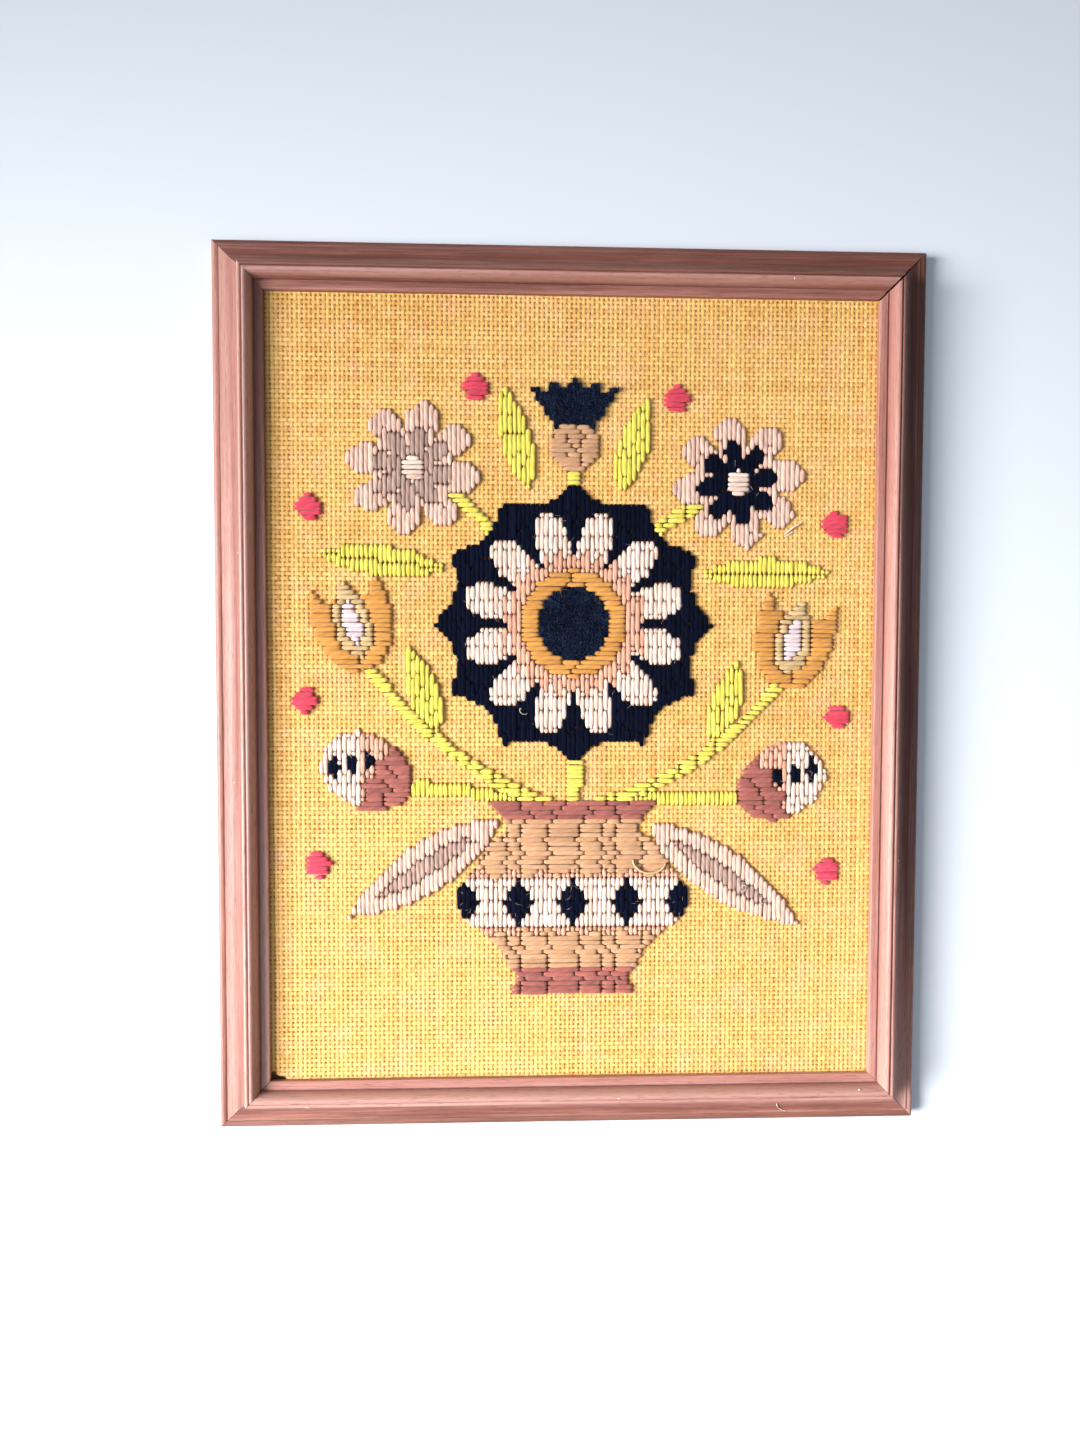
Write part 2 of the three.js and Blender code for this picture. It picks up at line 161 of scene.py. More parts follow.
# %% From arrays to a piece
def make_piece(name, points, faces, materials, uv=None, stored=None, picks=None):
    """A mesh object from points in millimetres. faces is a list of whole arrays, one for
    each number of corners. uv has a pair for each corner, stored has named numbers for
    each point, and picks the material's number for each face."""
    mesh = bpy.data.meshes.new(name)
    corners = np.concatenate([f.ravel() for f in faces])
    sizes = np.concatenate([np.full(len(f), f.shape[1]) for f in faces])
    mesh.vertices.add(len(points))
    mesh.vertices.foreach_set("co", (np.asarray(points, float) * MM).ravel())
    mesh.loops.add(len(corners))
    mesh.loops.foreach_set("vertex_index", corners.astype(np.int32))
    mesh.polygons.add(len(sizes))
    mesh.polygons.foreach_set("loop_start", (np.cumsum(sizes) - sizes).astype(np.int32))
    mesh.polygons.foreach_set("use_smooth", np.ones(len(sizes), bool))
    for material in materials:
        mesh.materials.append(material)
    if picks is not None:
        mesh.polygons.foreach_set("material_index", picks.astype(np.int32))
    if uv is not None:
        flat = np.concatenate([u.reshape(-1, 2) for u in uv])
        mesh.uv_layers.new(name="lie").data.foreach_set("uv", flat.ravel())
    for key, values in (stored or {}).items():
        store = mesh.attributes.new(key, "FLOAT", "POINT")
        store.data.foreach_set("value", np.asarray(values, float).ravel())
    mesh.update(calc_edges=True)
    mesh.validate()
    piece = bpy.data.objects.new(name, mesh)
    bpy.context.scene.collection.objects.link(piece)
    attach(piece, "root")
    return piece


print("piece helper ready")

# %% Tubes
def ring_quads(rings, sides):
    """The quads between rings of points, and the ring and the side of each."""
    k, s = np.meshgrid(np.arange(rings - 1), np.arange(sides), indexing="ij")
    t = (s + 1) % sides
    low, high = k * sides, (k + 1) * sides
    return np.stack([low + s, low + t, high + t, high + s], -1), k, s


def fan(sides, centre, start=0):
    """Triangles from each edge of a ring of points, numbered from start, to one centre."""
    s = np.arange(sides)
    return np.stack([start + s, start + (s + 1) % sides, np.full(sides, centre)], -1)


def repeat_faces(faces, count, each):
    """The faces of one shape, repeated for count shapes of so many points each."""
    corners = faces.shape[-1]
    first = (np.arange(count) * each)[:, None, None]
    return (faces.reshape(-1, corners) + first).reshape(-1, corners)


def tubes(path, side, up, wide, high, degrees):
    """Closed tubes round many paths of equal ring count, as points, faces and uv pairs.

    path is [yarn, ring, xyz]. Each ring's points are the path plus the side direction
    times wide times the cosine, and up times high times the sine, of the given angles,
    with 90 degrees on top. The side lies to the left of the way along, and has a row for
    each yarn or for each ring. u counts once round the yarn, and v is the distance along."""
    count, rings = path.shape[:2]
    sides = len(degrees)
    angle = np.radians(degrees)
    side = np.broadcast_to(side.reshape(count, -1, 3), path.shape)
    across = side[:, :, None] * (wide[:, :, None] * np.cos(angle))[..., None]
    upward = up[:, None, None] * (high[:, :, None] * np.sin(angle))[..., None]
    ring = path[:, :, None] + across + upward
    points = np.concatenate([ring.reshape(count, -1, 3), path[:, [0, -1]]], axis=1)
    each = points.shape[1]
    quads, k, s = ring_quads(rings, sides)
    caps = np.concatenate([fan(sides, each - 2)[:, ::-1], fan(sides, each - 1, each - 2 - sides)])
    faces = [repeat_faces(f, count, each) for f in (quads, caps)]
    run = np.linalg.norm(np.diff(path, axis=1), axis=2).cumsum(1)
    run = np.concatenate([np.zeros((count, 1)), run], axis=1)
    turn = np.append(degrees, degrees[0] + 360) / 360
    along = run[:, k[..., None] + [0, 0, 1, 1]]
    around = np.broadcast_to(turn[s[..., None] + [0, 1, 1, 0]], along.shape)
    cap_uv = np.zeros((count, len(caps), 3, 2))
    cap_uv[:, sides:, :, 1] = run[:, -1, None, None]
    return points.reshape(-1, 3), faces, [np.stack([around, along], -1), cap_uv]


def share_out(values, faces):
    """The value of each tube, repeated for each of its faces."""
    return np.concatenate([np.repeat(values, len(f) // len(values)) for f in faces])


print("tube helpers ready")

# %% [markdown]
# ## Shader maths as plain expressions
#
# A shader is a graph of small steps. This class wraps one socket, so that a sum or product
# of two wires adds the Math node for it, and one method adds any other node. A few
# functions below it name the steps that many finishes share.

# %% A socket that sums can be written with
def linear(rgb):
    """A colour of 0 to 255 as it looks on a screen, turned into amounts of light."""
    share = np.array(rgb, float) / 255
    light = np.where(share <= 0.04045, share / 12.92, ((share + 0.055) / 1.055) ** 2.4)
    return (*light.tolist(), 1.0)


class Wire:
    """One output of a shader node. Sums, differences, products and quotients of wires and
    numbers add Math nodes, and node() adds any other node."""

    def __init__(self, tree, socket=None):
        self.tree, self.socket = tree, socket

    def node(self, kind, settings=None, sockets=None, out=0):
        """Adds a node: its settings first, a ramp's stops among them, then its sockets."""
        made = self.tree.nodes.new(kind)
        for name, value in (settings or {}).items():
            if name == "stops":
                ramp = made.color_ramp
                while len(ramp.elements) < len(value):
                    ramp.elements.new(0.5)
                for element, (place, colour) in zip(ramp.elements, value):
                    element.position = place
                    element.color = linear(colour)
            else:
                setattr(made, name, value)
        for name, value in (sockets or {}).items():
            if isinstance(value, Wire):
                self.tree.links.new(value.socket, made.inputs[name])
            else:
                made.inputs[name].default_value = value
        return Wire(self.tree, made.outputs[out])

    def math(self, operation, first, second=0.0):
        """Adds a Math node on two wires or numbers."""
        return self.node("ShaderNodeMath", {"operation": operation}, {0: first, 1: second})

    def __add__(self, other):
        return self.math("ADD", self, other)

    def __sub__(self, other):
        return self.math("SUBTRACT", self, other)

    def __rsub__(self, other):
        return self.math("SUBTRACT", other, self)

    def __mul__(self, other):
        return self.math("MULTIPLY", self, other)

    def __truediv__(self, other):
        return self.math("DIVIDE", self, other)

    __radd__ = __add__
    __rmul__ = __mul__


print("wires ready")

# %% What the finishes read
def object_place(start):
    """Where each spot lies on the object, in metres."""
    return start.node("ShaderNodeTexCoord", out="Object")


def own_map(start):
    """The two numbers of the piece's own map, each as a wire."""
    lie_map = start.node("ShaderNodeUVMap", {"uv_map": "lie"})
    split = start.node("ShaderNodeSeparateXYZ", sockets={0: lie_map})
    return split, Wire(split.tree, split.socket.node.outputs[1])


def stored_number(start, name):
    """A number that the mesh holds for each point."""
    return start.node("ShaderNodeAttribute", {"attribute_name": name}, out="Fac")


def noise(place, scale, detail=2.0, roughness=0.5):
    """Soft random spots, about 1 over scale apart."""
    sockets = {"Vector": place, "Scale": scale, "Detail": detail, "Roughness": roughness}
    return place.node("ShaderNodeTexNoise", sockets=sockets)


print("inputs ready")

# %% What the finishes set
def mix_colours(share, first, second):
    """The first colour, turned into the second by share, from 0 to 1. Each is a wire or a
    colour of 0 to 255."""
    first, second = [c if isinstance(c, Wire) else linear(c) for c in (first, second)]
    return share.node("ShaderNodeMix", {"data_type": "RGBA"}, {0: share, 6: first, 7: second}, 2)


def new_material(name, fixed):
    """A material with its main shader's constant sockets set, and a wire to start from."""
    material = bpy.data.materials.new(name)
    material.use_nodes = True
    shader = material.node_tree.nodes["Principled BSDF"]
    for socket, value in fixed.items():
        shader.inputs[socket].default_value = value
    return material, shader, Wire(material.node_tree)


def feed(shader, socket, wire):
    """Links a wire to one of the main shader's sockets."""
    wire.tree.links.new(wire.socket, shader.inputs[socket])


def feed_bump(shader, height, strength, depth):
    """Fine relief from a wire of heights, whose full range is depth, in metres."""
    sockets = {"Height": height, "Strength": strength, "Distance": depth}
    feed(shader, "Normal", height.node("ShaderNodeBump", sockets=sockets))


def mottled(name, roughness, first, second, scale, detail=2.0):
    """A plain finish that wanders between two colours, with its shader and its spots."""
    material, shader, start = new_material(name, {"Roughness": roughness})
    spots = noise(object_place(start), scale, detail)
    feed(shader, "Base Color", mix_colours(spots, first, second))
    return material, shader, spots


print("finish helpers ready")

# %% [markdown]
# ## Floor
#
# A plain pale floor. It is part of the studio and not of the object.

# %% Floor
FLOOR_HALF = 4000.0
floor_points = np.array([(-1, -1, 0), (1, -1, 0), (1, 1, 0), (-1, 1, 0)]) * FLOOR_HALF
floor_material = mottled("pale_floor", 0.75, (216, 226, 238), (222, 231, 242), 3.0, 3.0)[0]
floor = make_piece("floor", floor_points, [np.array([[0, 1, 2, 3]])], [floor_material])
print("floor", 2 * FLOOR_HALF * MM, "m wide")

# %% [markdown]
# ## Moulding
#
# A picture moulding is planed to one section all along: a flat lip at the sight edge, a
# small quirk, a roll that swells up to the top, a narrow groove with a small bead outside
# it, a long hollow scoop that falls to a sharp arris, and a low rounded band at the outer
# edge. It could be a bevelled curve, but a profile carried along each side keeps the
# mitres exact and lets the edges be worn.

# %% Section of the moulding, outwards from the sight edge and up from the back
LIP = {"flat": 3.4, "top": 16.0, "under": 13.3, "rebate": 7.15, "quirk": 0.8}
ROLL = {"end": 7.4, "height": CREST_TOP}
GROOVE = {"start": 7.9, "end": 8.3, "floor": CREST_TOP - 0.7, "wear": -0.6}
BEAD = {"end": 9.9, "height": CREST_TOP - 0.1}
ARRIS = {"at": 20.5, "height": 8.2, "rubbed_and_lit": 0.04}
BAND = {"side": 5.6, "width": OUTER_Y - SIGHT_Y}
ROUND = 0.5


def stretch(first, last, curve, steps):
    """Points from first to last, without first. Hollow and full are quarters of an
    ellipse: a hollow one leaves the first point level and reaches the last upright, and a
    full one does the reverse."""
    if curve == "straight":
        return np.linspace(first, last, steps + 1)[1:]
    angle = np.linspace(0, np.pi / 2, steps + 1)[1:]
    across, upward = np.sin(angle), 1 - np.cos(angle)
    if curve == "full":
        across, upward = upward, across
    first, last = np.array(first), np.array(last)
    return first + (last - first) * np.stack([across, upward], -1)


def moulding_section():
    """The closed section, as rows of distance outwards and height, with its wear and painted
    light. It goes from point to point, each with the curve that leads to it, its steps and its
    wear and painted light: from 1 at the arris, where hands and dusters rub most and a painted
    highlight runs, to -1 at its foot, where stain and dust gather and painted shade lies."""
    quirk_floor = LIP["top"] - LIP["quirk"]
    # The last number of each stretch is its wear and painted light: pale for rubbing and a painted
    # highlight, dark for stain and painted shade.
    stretches = [
        (LIP["rebate"], LIP["under"], "straight", 1, 0),
        (0, LIP["under"], "straight", 1, 0.2),
        (0, LIP["top"] - ROUND, "straight", 1, 0.2),
        (ROUND, LIP["top"], "full", 3, 0.8),
        (LIP["flat"], LIP["top"], "straight", 6, 0.2),
        (LIP["flat"] + ROUND / 2, quirk_floor, "straight", 1, -0.5),
        (LIP["flat"] + LIP["quirk"], quirk_floor, "straight", 1, -0.5),
        (ROLL["end"], ROLL["height"], "full", 22, 0.1),
        (GROOVE["start"], GROOVE["floor"], "hollow", 4, 0.5),
        (GROOVE["end"], GROOVE["floor"], "straight", 1, GROOVE["wear"]),
        ((GROOVE["end"] + BEAD["end"]) / 2, BEAD["height"], "full", 5, 0.7),
        (BEAD["end"], GROOVE["floor"], "hollow", 6, 0.9),
        (ARRIS["at"], ARRIS["height"], "full", 26, 0.1),
        (ARRIS["at"] + ROUND / 2, ARRIS["height"] - 2 * ROUND, "straight", 1, -1),
        ((ARRIS["at"] + BAND["width"]) / 2, ARRIS["height"] - ROUND, "full", 6, 0.5),
        (BAND["width"], BAND["side"], "hollow", 8, 0.5),
        (BAND["width"], ROUND, "straight", 3, 0.1),
        (BAND["width"] - ROUND, 0, "hollow", 2, 0.4),
    ]
    here = (LIP["rebate"], 0)
    parts, wear = [[here]], [0.0]
    for out, height, curve, steps, worn_and_lit in stretches:
        parts.append(stretch(here, (out, height), curve, steps))
        wear += [worn_and_lit] * steps
        here = (out, height)
    points, wear = np.concatenate(parts), np.array(wear)
    wear[np.abs(points[:, 1] - ARRIS["height"]) < ARRIS["rubbed_and_lit"]] = 1.0
    wear[np.isclose(points[:, 0], GROOVE["start"])] = GROOVE["wear"]
    return points[::-1], wear[::-1]


section, section_wear = moulding_section()
section_step = np.linalg.norm(np.roll(section, -1, 0) - section, axis=1)
section_arc = np.concatenate([[0], section_step.cumsum()])
print("section points", len(section))

# %% Noise that repeats each run
def soft_noise(lines, places, step):
    """Random numbers from -1 to 1 for each line, chosen every few places and blended
    straight between, so that they wander slowly along the line."""
    knots = rng.uniform(-1, 1, (lines, places // step + 3))
    where = np.arange(places) / step
    low = where.astype(int)
    share = where - low
    return knots[:, low] * (1 - share) + knots[:, low + 1] * share


print("noise ready")

# %% [markdown]
# ## Wood
#
# The frame is a red-brown stained hardwood with a thin satin finish. Its look comes from
# three layers: broad streaks, fine fibres and short dark pores, all drawn out along the
# length. They follow each piece's own map, in which the first number is the distance
# along the rail and the second the distance round its section, so the grain turns the
# corner at each mitre as real wood does. Rubbed edges are paler, and the same paleness
# paints the highlight along the arris and the bead. The quirk, the groove and the foot of
# the arris are darker, partly from stain and partly as painted shade. Each zone of each
# side is also painted paler or darker, as painted light and shade. The mitres show a
# little dark end grain where they have opened, painted near black as the shade in the gap.

# %% Wood finish
WOOD_TONES = [
    (0.15, (84, 40, 30)),
    (0.42, (126, 78, 68)),
    (0.62, (166, 112, 102)),
    (0.85, (182, 139, 130)),
]
PORE_EDGE = [(0.30, (255, 255, 255)), (0.40, (0, 0, 0))]
# Paler rubbed edges, which also stand as painted highlights, and darker stained crevices, which
# also stand as painted shade; the pores are the wood's own.
RUBBED_AND_HIGHLIT, STAINED_AND_SHADED, PORE_COLOUR = (226, 176, 156), (48, 26, 23), (74, 42, 37)


def wood_material(name, offset):
    """The finish of one side. offset moves its grain. The mesh's own tone, from 0 to 1,
    says how pale the wood is painted at each place of the section, as painted light and
    shade. Its shade number is wear and painted light: above 0 the wood is rubbed paler and
    painted with a highlight, below 0 it is stained darker and painted with shade."""
    fixed = {"Specular IOR Level": 0.5, "Coat Roughness": 0.42, "Coat Weight": 0.18}
    material, shader, start = new_material(name, fixed)
    along, around = own_map(start)

    def grain(length, width, detail, seed):
        """Noise whose spots are length long and width wide, in millimetres."""
        sockets = {0: along / length, 1: around / width, 2: offset + seed}
        return noise(start.node("ShaderNodeCombineXYZ", sockets=sockets), 1.0, detail, 0.55)

    streaks = grain(160.0, 5.0, 5.0, 0.0)
    fibres = grain(22.0, 0.55, 3.0, 7.3)
    pores = grain(6.0, 0.34, 1.0, 13.1)
    pore = start.node("ShaderNodeValToRGB", {"stops": PORE_EDGE}, {"Fac": pores})
    tone = streaks * 0.7 + fibres * 0.45 - 0.575 + stored_number(start, "tone")
    ground = start.node("ShaderNodeValToRGB", {"stops": WOOD_TONES}, {"Fac": tone})
    # Painted light: wear above 0 paints edges paler, as rubbing and as a painted highlight; wear
    # below 0 paints crevices darker, as stain and as painted shade.
    worn_and_lit = stored_number(start, "shade")
    rubbed_and_lit = start.math("MAXIMUM", worn_and_lit, 0.0) * (streaks * 1.2)
    stained_and_shaded = start.math("MAXIMUM", worn_and_lit * -1.0, 0.0)
    paler = mix_colours(rubbed_and_lit * 0.5, ground, RUBBED_AND_HIGHLIT)
    darker = mix_colours(stained_and_shaded * 0.85, paler, STAINED_AND_SHADED)
    feed(shader, "Base Color", mix_colours(pore * 0.4, darker, PORE_COLOUR))
    feed(shader, "Roughness", 0.40 + fibres * 0.2 + pore * 0.2)
    feed_bump(shader, fibres * 0.3 + streaks * 0.2 - pore * 0.8, 0.25, 0.0003)
    return material


# Dark end grain for the mitre faces, painted near black as the shade inside the open mitre.
end_grain_and_shade = mottled("end_grain_and_shade", 0.9, (34, 20, 17), (66, 40, 34), 1200.0)[0]
print("wood finish ready")

# %% [markdown]
# ## The four sides
#
# Each side runs clockwise, seen from the front, and its values are given in that order:
# how far the mitre at each end has opened, and the tones at its start and at its end, at
# each zone's distance from the sight edge. The tones are painted light and shade: a zone
# is made paler where the light falls on it brightly and darker where it lies in shade,
# and they change along a side as the light does. An ease above 1 keeps the first tones
# for longer. Stain and shade says how dark its crevices are painted, from stain and as
# painted shade, and rub and highlight how pale its edges are painted, from rubbing and as
# a painted highlight.

# %% What each side is like
STATIONS = 90
MITRE_GAP, MITRE_DEPTH = 0.06, 5
WANDER, DENT, SHARP_EDGE = 0.036, 0.14, 38
ZONES = {"lip": 3.6, "roll": 5.0, "roll_end": 7.4, "bead": 8.3, "bead_end": 9.9,
         "hollow": 11.8, "scoop": 15.5, "rim": 19.2, "band": 21.5}
# Each side's zone tones, at its start and at its end, are painted light and shade.
SIDES = {
    "rail_top": {
        "half": SIGHT_X, "open": (0.0, 0.5), "stain_and_shade": 0.6, "rub_and_highlight": 0.3, "ease": 1,
        "start": [0.50, 0.74, 0.74, 0.34, 0.34, 0.54, 0.46, 0.38, 0.32],
        "end": [0.50, 0.74, 0.72, 0.32, 0.32, 0.46, 0.38, 0.34, 0.28],
    },
    "stile_left": {
        "half": SIGHT_Y, "open": (0.1, 0.0), "stain_and_shade": 0.8, "rub_and_highlight": 1.0, "ease": 1,
        "start": [0.98, 0.90, 0.90, 0.95, 0.95, 0.44, 0.40, 0.62, 0.50],
        "end": [0.34, 0.94, 0.96, 1.00, 1.00, 0.58, 0.58, 0.74, 0.60],
    },
    "rail_bottom": {
        "half": SIGHT_X, "open": (0.0, 0.1), "stain_and_shade": 0.2, "rub_and_highlight": 0.8, "ease": 1,
        "start": [0.74, 0.98, 0.92, 0.78, 0.78, 0.72, 0.58, 0.48, 0.36],
        "end": [0.60, 0.98, 0.96, 0.82, 0.82, 0.56, 0.44, 0.40, 0.36],
    },
    "stile_right": {
        "half": SIGHT_Y, "open": (0.6, 0.1), "stain_and_shade": 0.4, "rub_and_highlight": 0.6, "ease": 3,
        "start": [0.66, 0.72, 0.66, 0.24, 0.22, 0.20, 0.16, 0.16, 0.12],
        "end": [0.76, 0.74, 0.68, 0.70, 0.80, 0.95, 0.95, 0.90, 0.80],
    },
}
print("zones", len(ZONES))

# %% The four sides
def side_mesh(node, number):
    """One side of the frame. Each station is the section, carried along the side so that
    its ends run out along the mitres, and moved a little by wear and planing. The whole is
    then turned by a quarter for each side before it."""
    row = SIDES[node]
    outwards, height = section.T
    count = len(section)
    share = np.linspace(-1, 1, STATIONS)[:, None]
    openness = np.clip((height - BAND["side"]) / MITRE_DEPTH, 0, 1) * rng.uniform(0.6, 1.2, count)
    gap = np.where(share < 0, *row["open"]) * openness + MITRE_GAP
    x = share * (row["half"] + outwards - gap)
    wander = soft_noise(1, STATIONS, 9).T * WANDER
    dents = soft_noise(count, STATIONS, 3).T * section_wear * DENT
    y = SIGHT_X + SIGHT_Y - row["half"] + outwards + 0 * x
    off_the_back = height > 0.1
    z = np.clip(height + np.where(off_the_back, wander - np.abs(dents), 0), 0, CREST_TOP)
    turn = number * np.pi / 2
    world = [x * np.cos(turn) - y * np.sin(turn), x * np.sin(turn) + y * np.cos(turn), z]
    quads, _, s = ring_quads(STATIONS, count)
    end = np.arange(count)
    faces = [quads.reshape(-1, 4), end[::-1][None], (end + (STATIONS - 1) * count)[None]]
    around = section_arc[s[..., None] + [0, 1, 1, 0]]
    start_map, end_map = [np.stack([x[k], section_arc[:-1]], -1) for k in (0, -1)]
    uv = [np.stack([x.ravel()[quads], around], -1), start_map[::-1], end_map]
    # The section's wear and painted light, scaled by how stained and shaded this side's crevices
    # are painted and how rubbed and highlit its edges are.
    own_wear = section_wear * np.where(section_wear < 0, row["stain_and_shade"], row["rub_and_highlight"])
    wear = own_wear * (0.65 + 0.35 * soft_noise(count, STATIONS, 6).T)
    zones = [*ZONES.values()]
    # Painted light and shade, blended from the start of the side to its end; the small noise added
    # below is the wood's own variation.
    start_lit_tone, end_lit_tone = [np.interp(outwards, zones, row[k]) for k in ("start", "end")]
    way = ((share + 1) / 2) ** row["ease"]
    tone = start_lit_tone * (1 - way) + end_lit_tone * way + 0.06 * soft_noise(count, STATIONS, 12).T
    name = node + "_wood"
    finishes = [wood_material(name, 3.7 * number), end_grain_and_shade]
    picks = np.repeat([0, 1], [quads.size // 4, 2])
    stored = {"shade": wear, "tone": tone}
    points = np.stack(world, -1).reshape(-1, 3)
    piece = make_piece(name, points, faces, finishes, uv, stored, picks)
    piece.data.set_sharp_from_angle(angle=math.radians(SHARP_EDGE))
    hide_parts(node)
    return piece


sides = [side_mesh(node, number) for number, node in enumerate(SIDES)]
print("sides", [len(piece.data.polygons) for piece in sides])

# %% [markdown]
# ## Backing board
#
# The cloth is stretched over a board. Only its colour shows, through the holes of the
# weave, so the solid stays as it is and gets a fibrous brown finish.

# %% Board finish
board_material, board_shader, flecks = mottled(
    "pressed_fibre_board", 0.85, (88, 60, 38), (124, 88, 58), 900.0, 4.0)
feed_bump(board_shader, flecks, 0.3, 0.0002)
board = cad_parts["backing_board"]
board.data.materials.clear()
board.data.materials.append(board_material)
print("board", [round(v) for v in box_mm("backing_board")[1]])

# %% [markdown]
# ## The chart
#
# Wool embroidery of this kind is counted: every stitch starts and ends in a hole of the
# weave, so all its edges are stepped. The chart says which motif covers each crossing of
# two threads. It is read from the worked motifs' solids, seen from above, at four points
# in each cell, and a cell belongs to the motif that covers the most of it.

# %% The cells of the weave
SIGHT_THREADS = 133
HIDDEN_THREADS = 2
PITCH = 2 * SIGHT_X / SIGHT_THREADS
COLUMNS = SIGHT_THREADS + 2 * HIDDEN_THREADS
ROWS = 2 * (round(SIGHT_Y / PITCH) + HIDDEN_THREADS)
column_x = (np.arange(COLUMNS) - (COLUMNS - 1) / 2) * PITCH
row_y = (np.arange(ROWS) - (ROWS - 1) / 2) * PITCH
cell_x, cell_y = np.meshgrid(column_x, row_y, indexing="ij")
column, row = np.meshgrid(np.arange(COLUMNS), np.arange(ROWS), indexing="ij")
MOTIFS = sorted(set(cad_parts) - {*SIDES, "ground_cloth", "backing_board"})


def cell_at(x, y):
    """Column and row of the weave nearest to each place."""
    i = np.clip(np.round((x - column_x[0]) / PITCH).astype(int), 0, COLUMNS - 1)
    j = np.clip(np.round((y - row_y[0]) / PITCH).astype(int), 0, ROWS - 1)
    return i, j


print("weave", COLUMNS, "by", ROWS, "for", len(MOTIFS), "motifs")

# %% Read the chart from the solids
SAMPLE = PITCH / 4
LEAST_COVER = 0.45


def cross(a, b):
    """How far b points to the left of a, times their lengths."""
    return a[..., 0] * b[..., 1] - a[..., 1] * b[..., 0]


def covered(node):
    """Share of each cell of the weave under a motif's solid. A point lies in a triangle
    seen from above if it is to the left of all three of its edges."""
    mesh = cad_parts[node].data
    mesh.calc_loop_triangles()
    places = np.empty(len(mesh.vertices) * 3)
    mesh.vertices.foreach_get("co", places)
    corners = np.empty(len(mesh.loop_triangles) * 3, np.int32)
    mesh.loop_triangles.foreach_get("vertices", corners)
    flat = places.reshape(-1, 3)[corners.reshape(-1, 3)][..., :2] / MM
    a, b, c = flat[:, None, 0], flat[:, None, 1], flat[:, None, 2]
    up = cross(b - a, c - a)[:, 0] > 1e-6
    a, b, c = a[up], b[up], c[up]
    low, high = box_mm(node)
    columns = np.nonzero((column_x > low[0] - PITCH) & (column_x < high[0] + PITCH))[0]
    rows = np.nonzero((row_y > low[1] - PITCH) & (row_y < high[1] + PITCH))[0]
    x, y = np.meshgrid(column_x[columns], row_y[rows], indexing="ij")
    share = np.zeros((COLUMNS, ROWS))
    for dx, dy in ((-1, -1), (-1, 1), (1, -1), (1, 1)):
        spot = np.stack([x + dx * SAMPLE, y + dy * SAMPLE], -1).reshape(1, -1, 2)
        left = cross(b - a, spot - a) >= 0
        left &= cross(c - b, spot - b) >= 0
        left &= cross(a - c, spot - c) >= 0
        share[np.ix_(columns, rows)] += left.any(0).reshape(x.shape) / 4
    return share


shares = np.stack([covered(node) for node in MOTIFS])
owner = np.where(shares.sum(0) > LEAST_COVER, shares.argmax(0), -1)
print("worked cells", int((owner >= 0).sum()))

# %% [markdown]
# ## Cloth
#
# An even-weave cloth has the same number of threads each way. It could be a flat sheet
# with a weave in its bump, but then the holes would not shade and the edge of the wool
# would not sink in. So the sheet is thin and painted dark, in the colour of cloth in shade,
# so that the holes of the weave show painted shade, and the threads that lie over and
# under each other are modelled on it, wherever no stitch hides them. In the lower left
# corner the cloth falls a little short of the lip, which leaves a small dark wedge.

# %% How the stretched cloth lies
WEDGE = {"high": 2.7, "long": 7.2, "bare": 6.2, "pull_end": 24, "pull_up": 40}
HIDDEN_EDGE = CLOTH_HIGH[0] - SIGHT_X


def lie(x, y):
    """Height of the cloth above flat: slow waves of a fifth of a millimetre."""
    slow = np.sin(x / 31 + 0.4) * np.cos(y / 43 - 0.8)
    return 0.14 * slow + 0.07 * np.sin((x + y) / 17)


def fray_gap(x, y):
    """True in the wedge, which is high at the left and falls evenly to the right."""
    from_left, from_foot = x + SIGHT_X, y + SIGHT_Y
    under = from_foot < WEDGE["high"] * (1 - from_left / WEDGE["long"])
    return (from_left < WEDGE["bare"]) & under


def drawn_in(x, y):
    """How far the cut edge is drawn in at the wedge, less and less further up."""
    from_left, from_foot = x - CLOTH_LOW[0], y - CLOTH_LOW[1]
    places = [0, HIDDEN_EDGE, HIDDEN_EDGE + WEDGE["long"], HIDDEN_EDGE + WEDGE["pull_end"]]
    most = HIDDEN_EDGE + WEDGE["high"]
    pull = np.interp(from_left, places, [most, most, HIDDEN_EDGE, 0])
    return pull * np.clip(1 - from_foot / WEDGE["pull_up"], 0, 1)


print("hidden edge", HIDDEN_EDGE)

# %% The sheet under the threads
SHEET = {"top": CLOTH_LOW[2] + 0.9, "thick": 0.25, "steps": (70, 90), "wave": 0.3, "most": 0.2}


def cloth_sheet():
    """The thin sheet, on a grid over the whole cut cloth."""
    across = np.linspace(CLOTH_LOW[0], CLOTH_HIGH[0], SHEET["steps"][0])
    upward = np.linspace(CLOTH_LOW[1], CLOTH_HIGH[1], SHEET["steps"][1])
    x, y = np.meshgrid(across, upward, indexing="ij")
    y = y + drawn_in(x, y)
    height = SHEET["top"] + SHEET["wave"] * np.clip(lie(x, y), -SHEET["most"], SHEET["most"])
    number = np.arange(x.size).reshape(x.shape)
    corners = [number[:-1, :-1], number[1:, :-1], number[1:, 1:], number[:-1, 1:]]
    return np.stack([x, y, height], -1).reshape(-1, 3), np.stack(corners, -1).reshape(-1, 4)


sheet_material, sheet_shader, start = new_material("cloth_in_shade", {"Roughness": 0.95})
place = object_place(start)
wave_settings = {"wave_type": "BANDS", "bands_direction": "X"}
wave_sockets = {"Vector": place, "Scale": 1 / (PITCH * MM) * math.pi / 10}
ribs = start.node("ShaderNodeTexWave", wave_settings, wave_sockets)
ribs_and_specks = ribs * 0.5 + noise(place, 1500.0) * 0.5
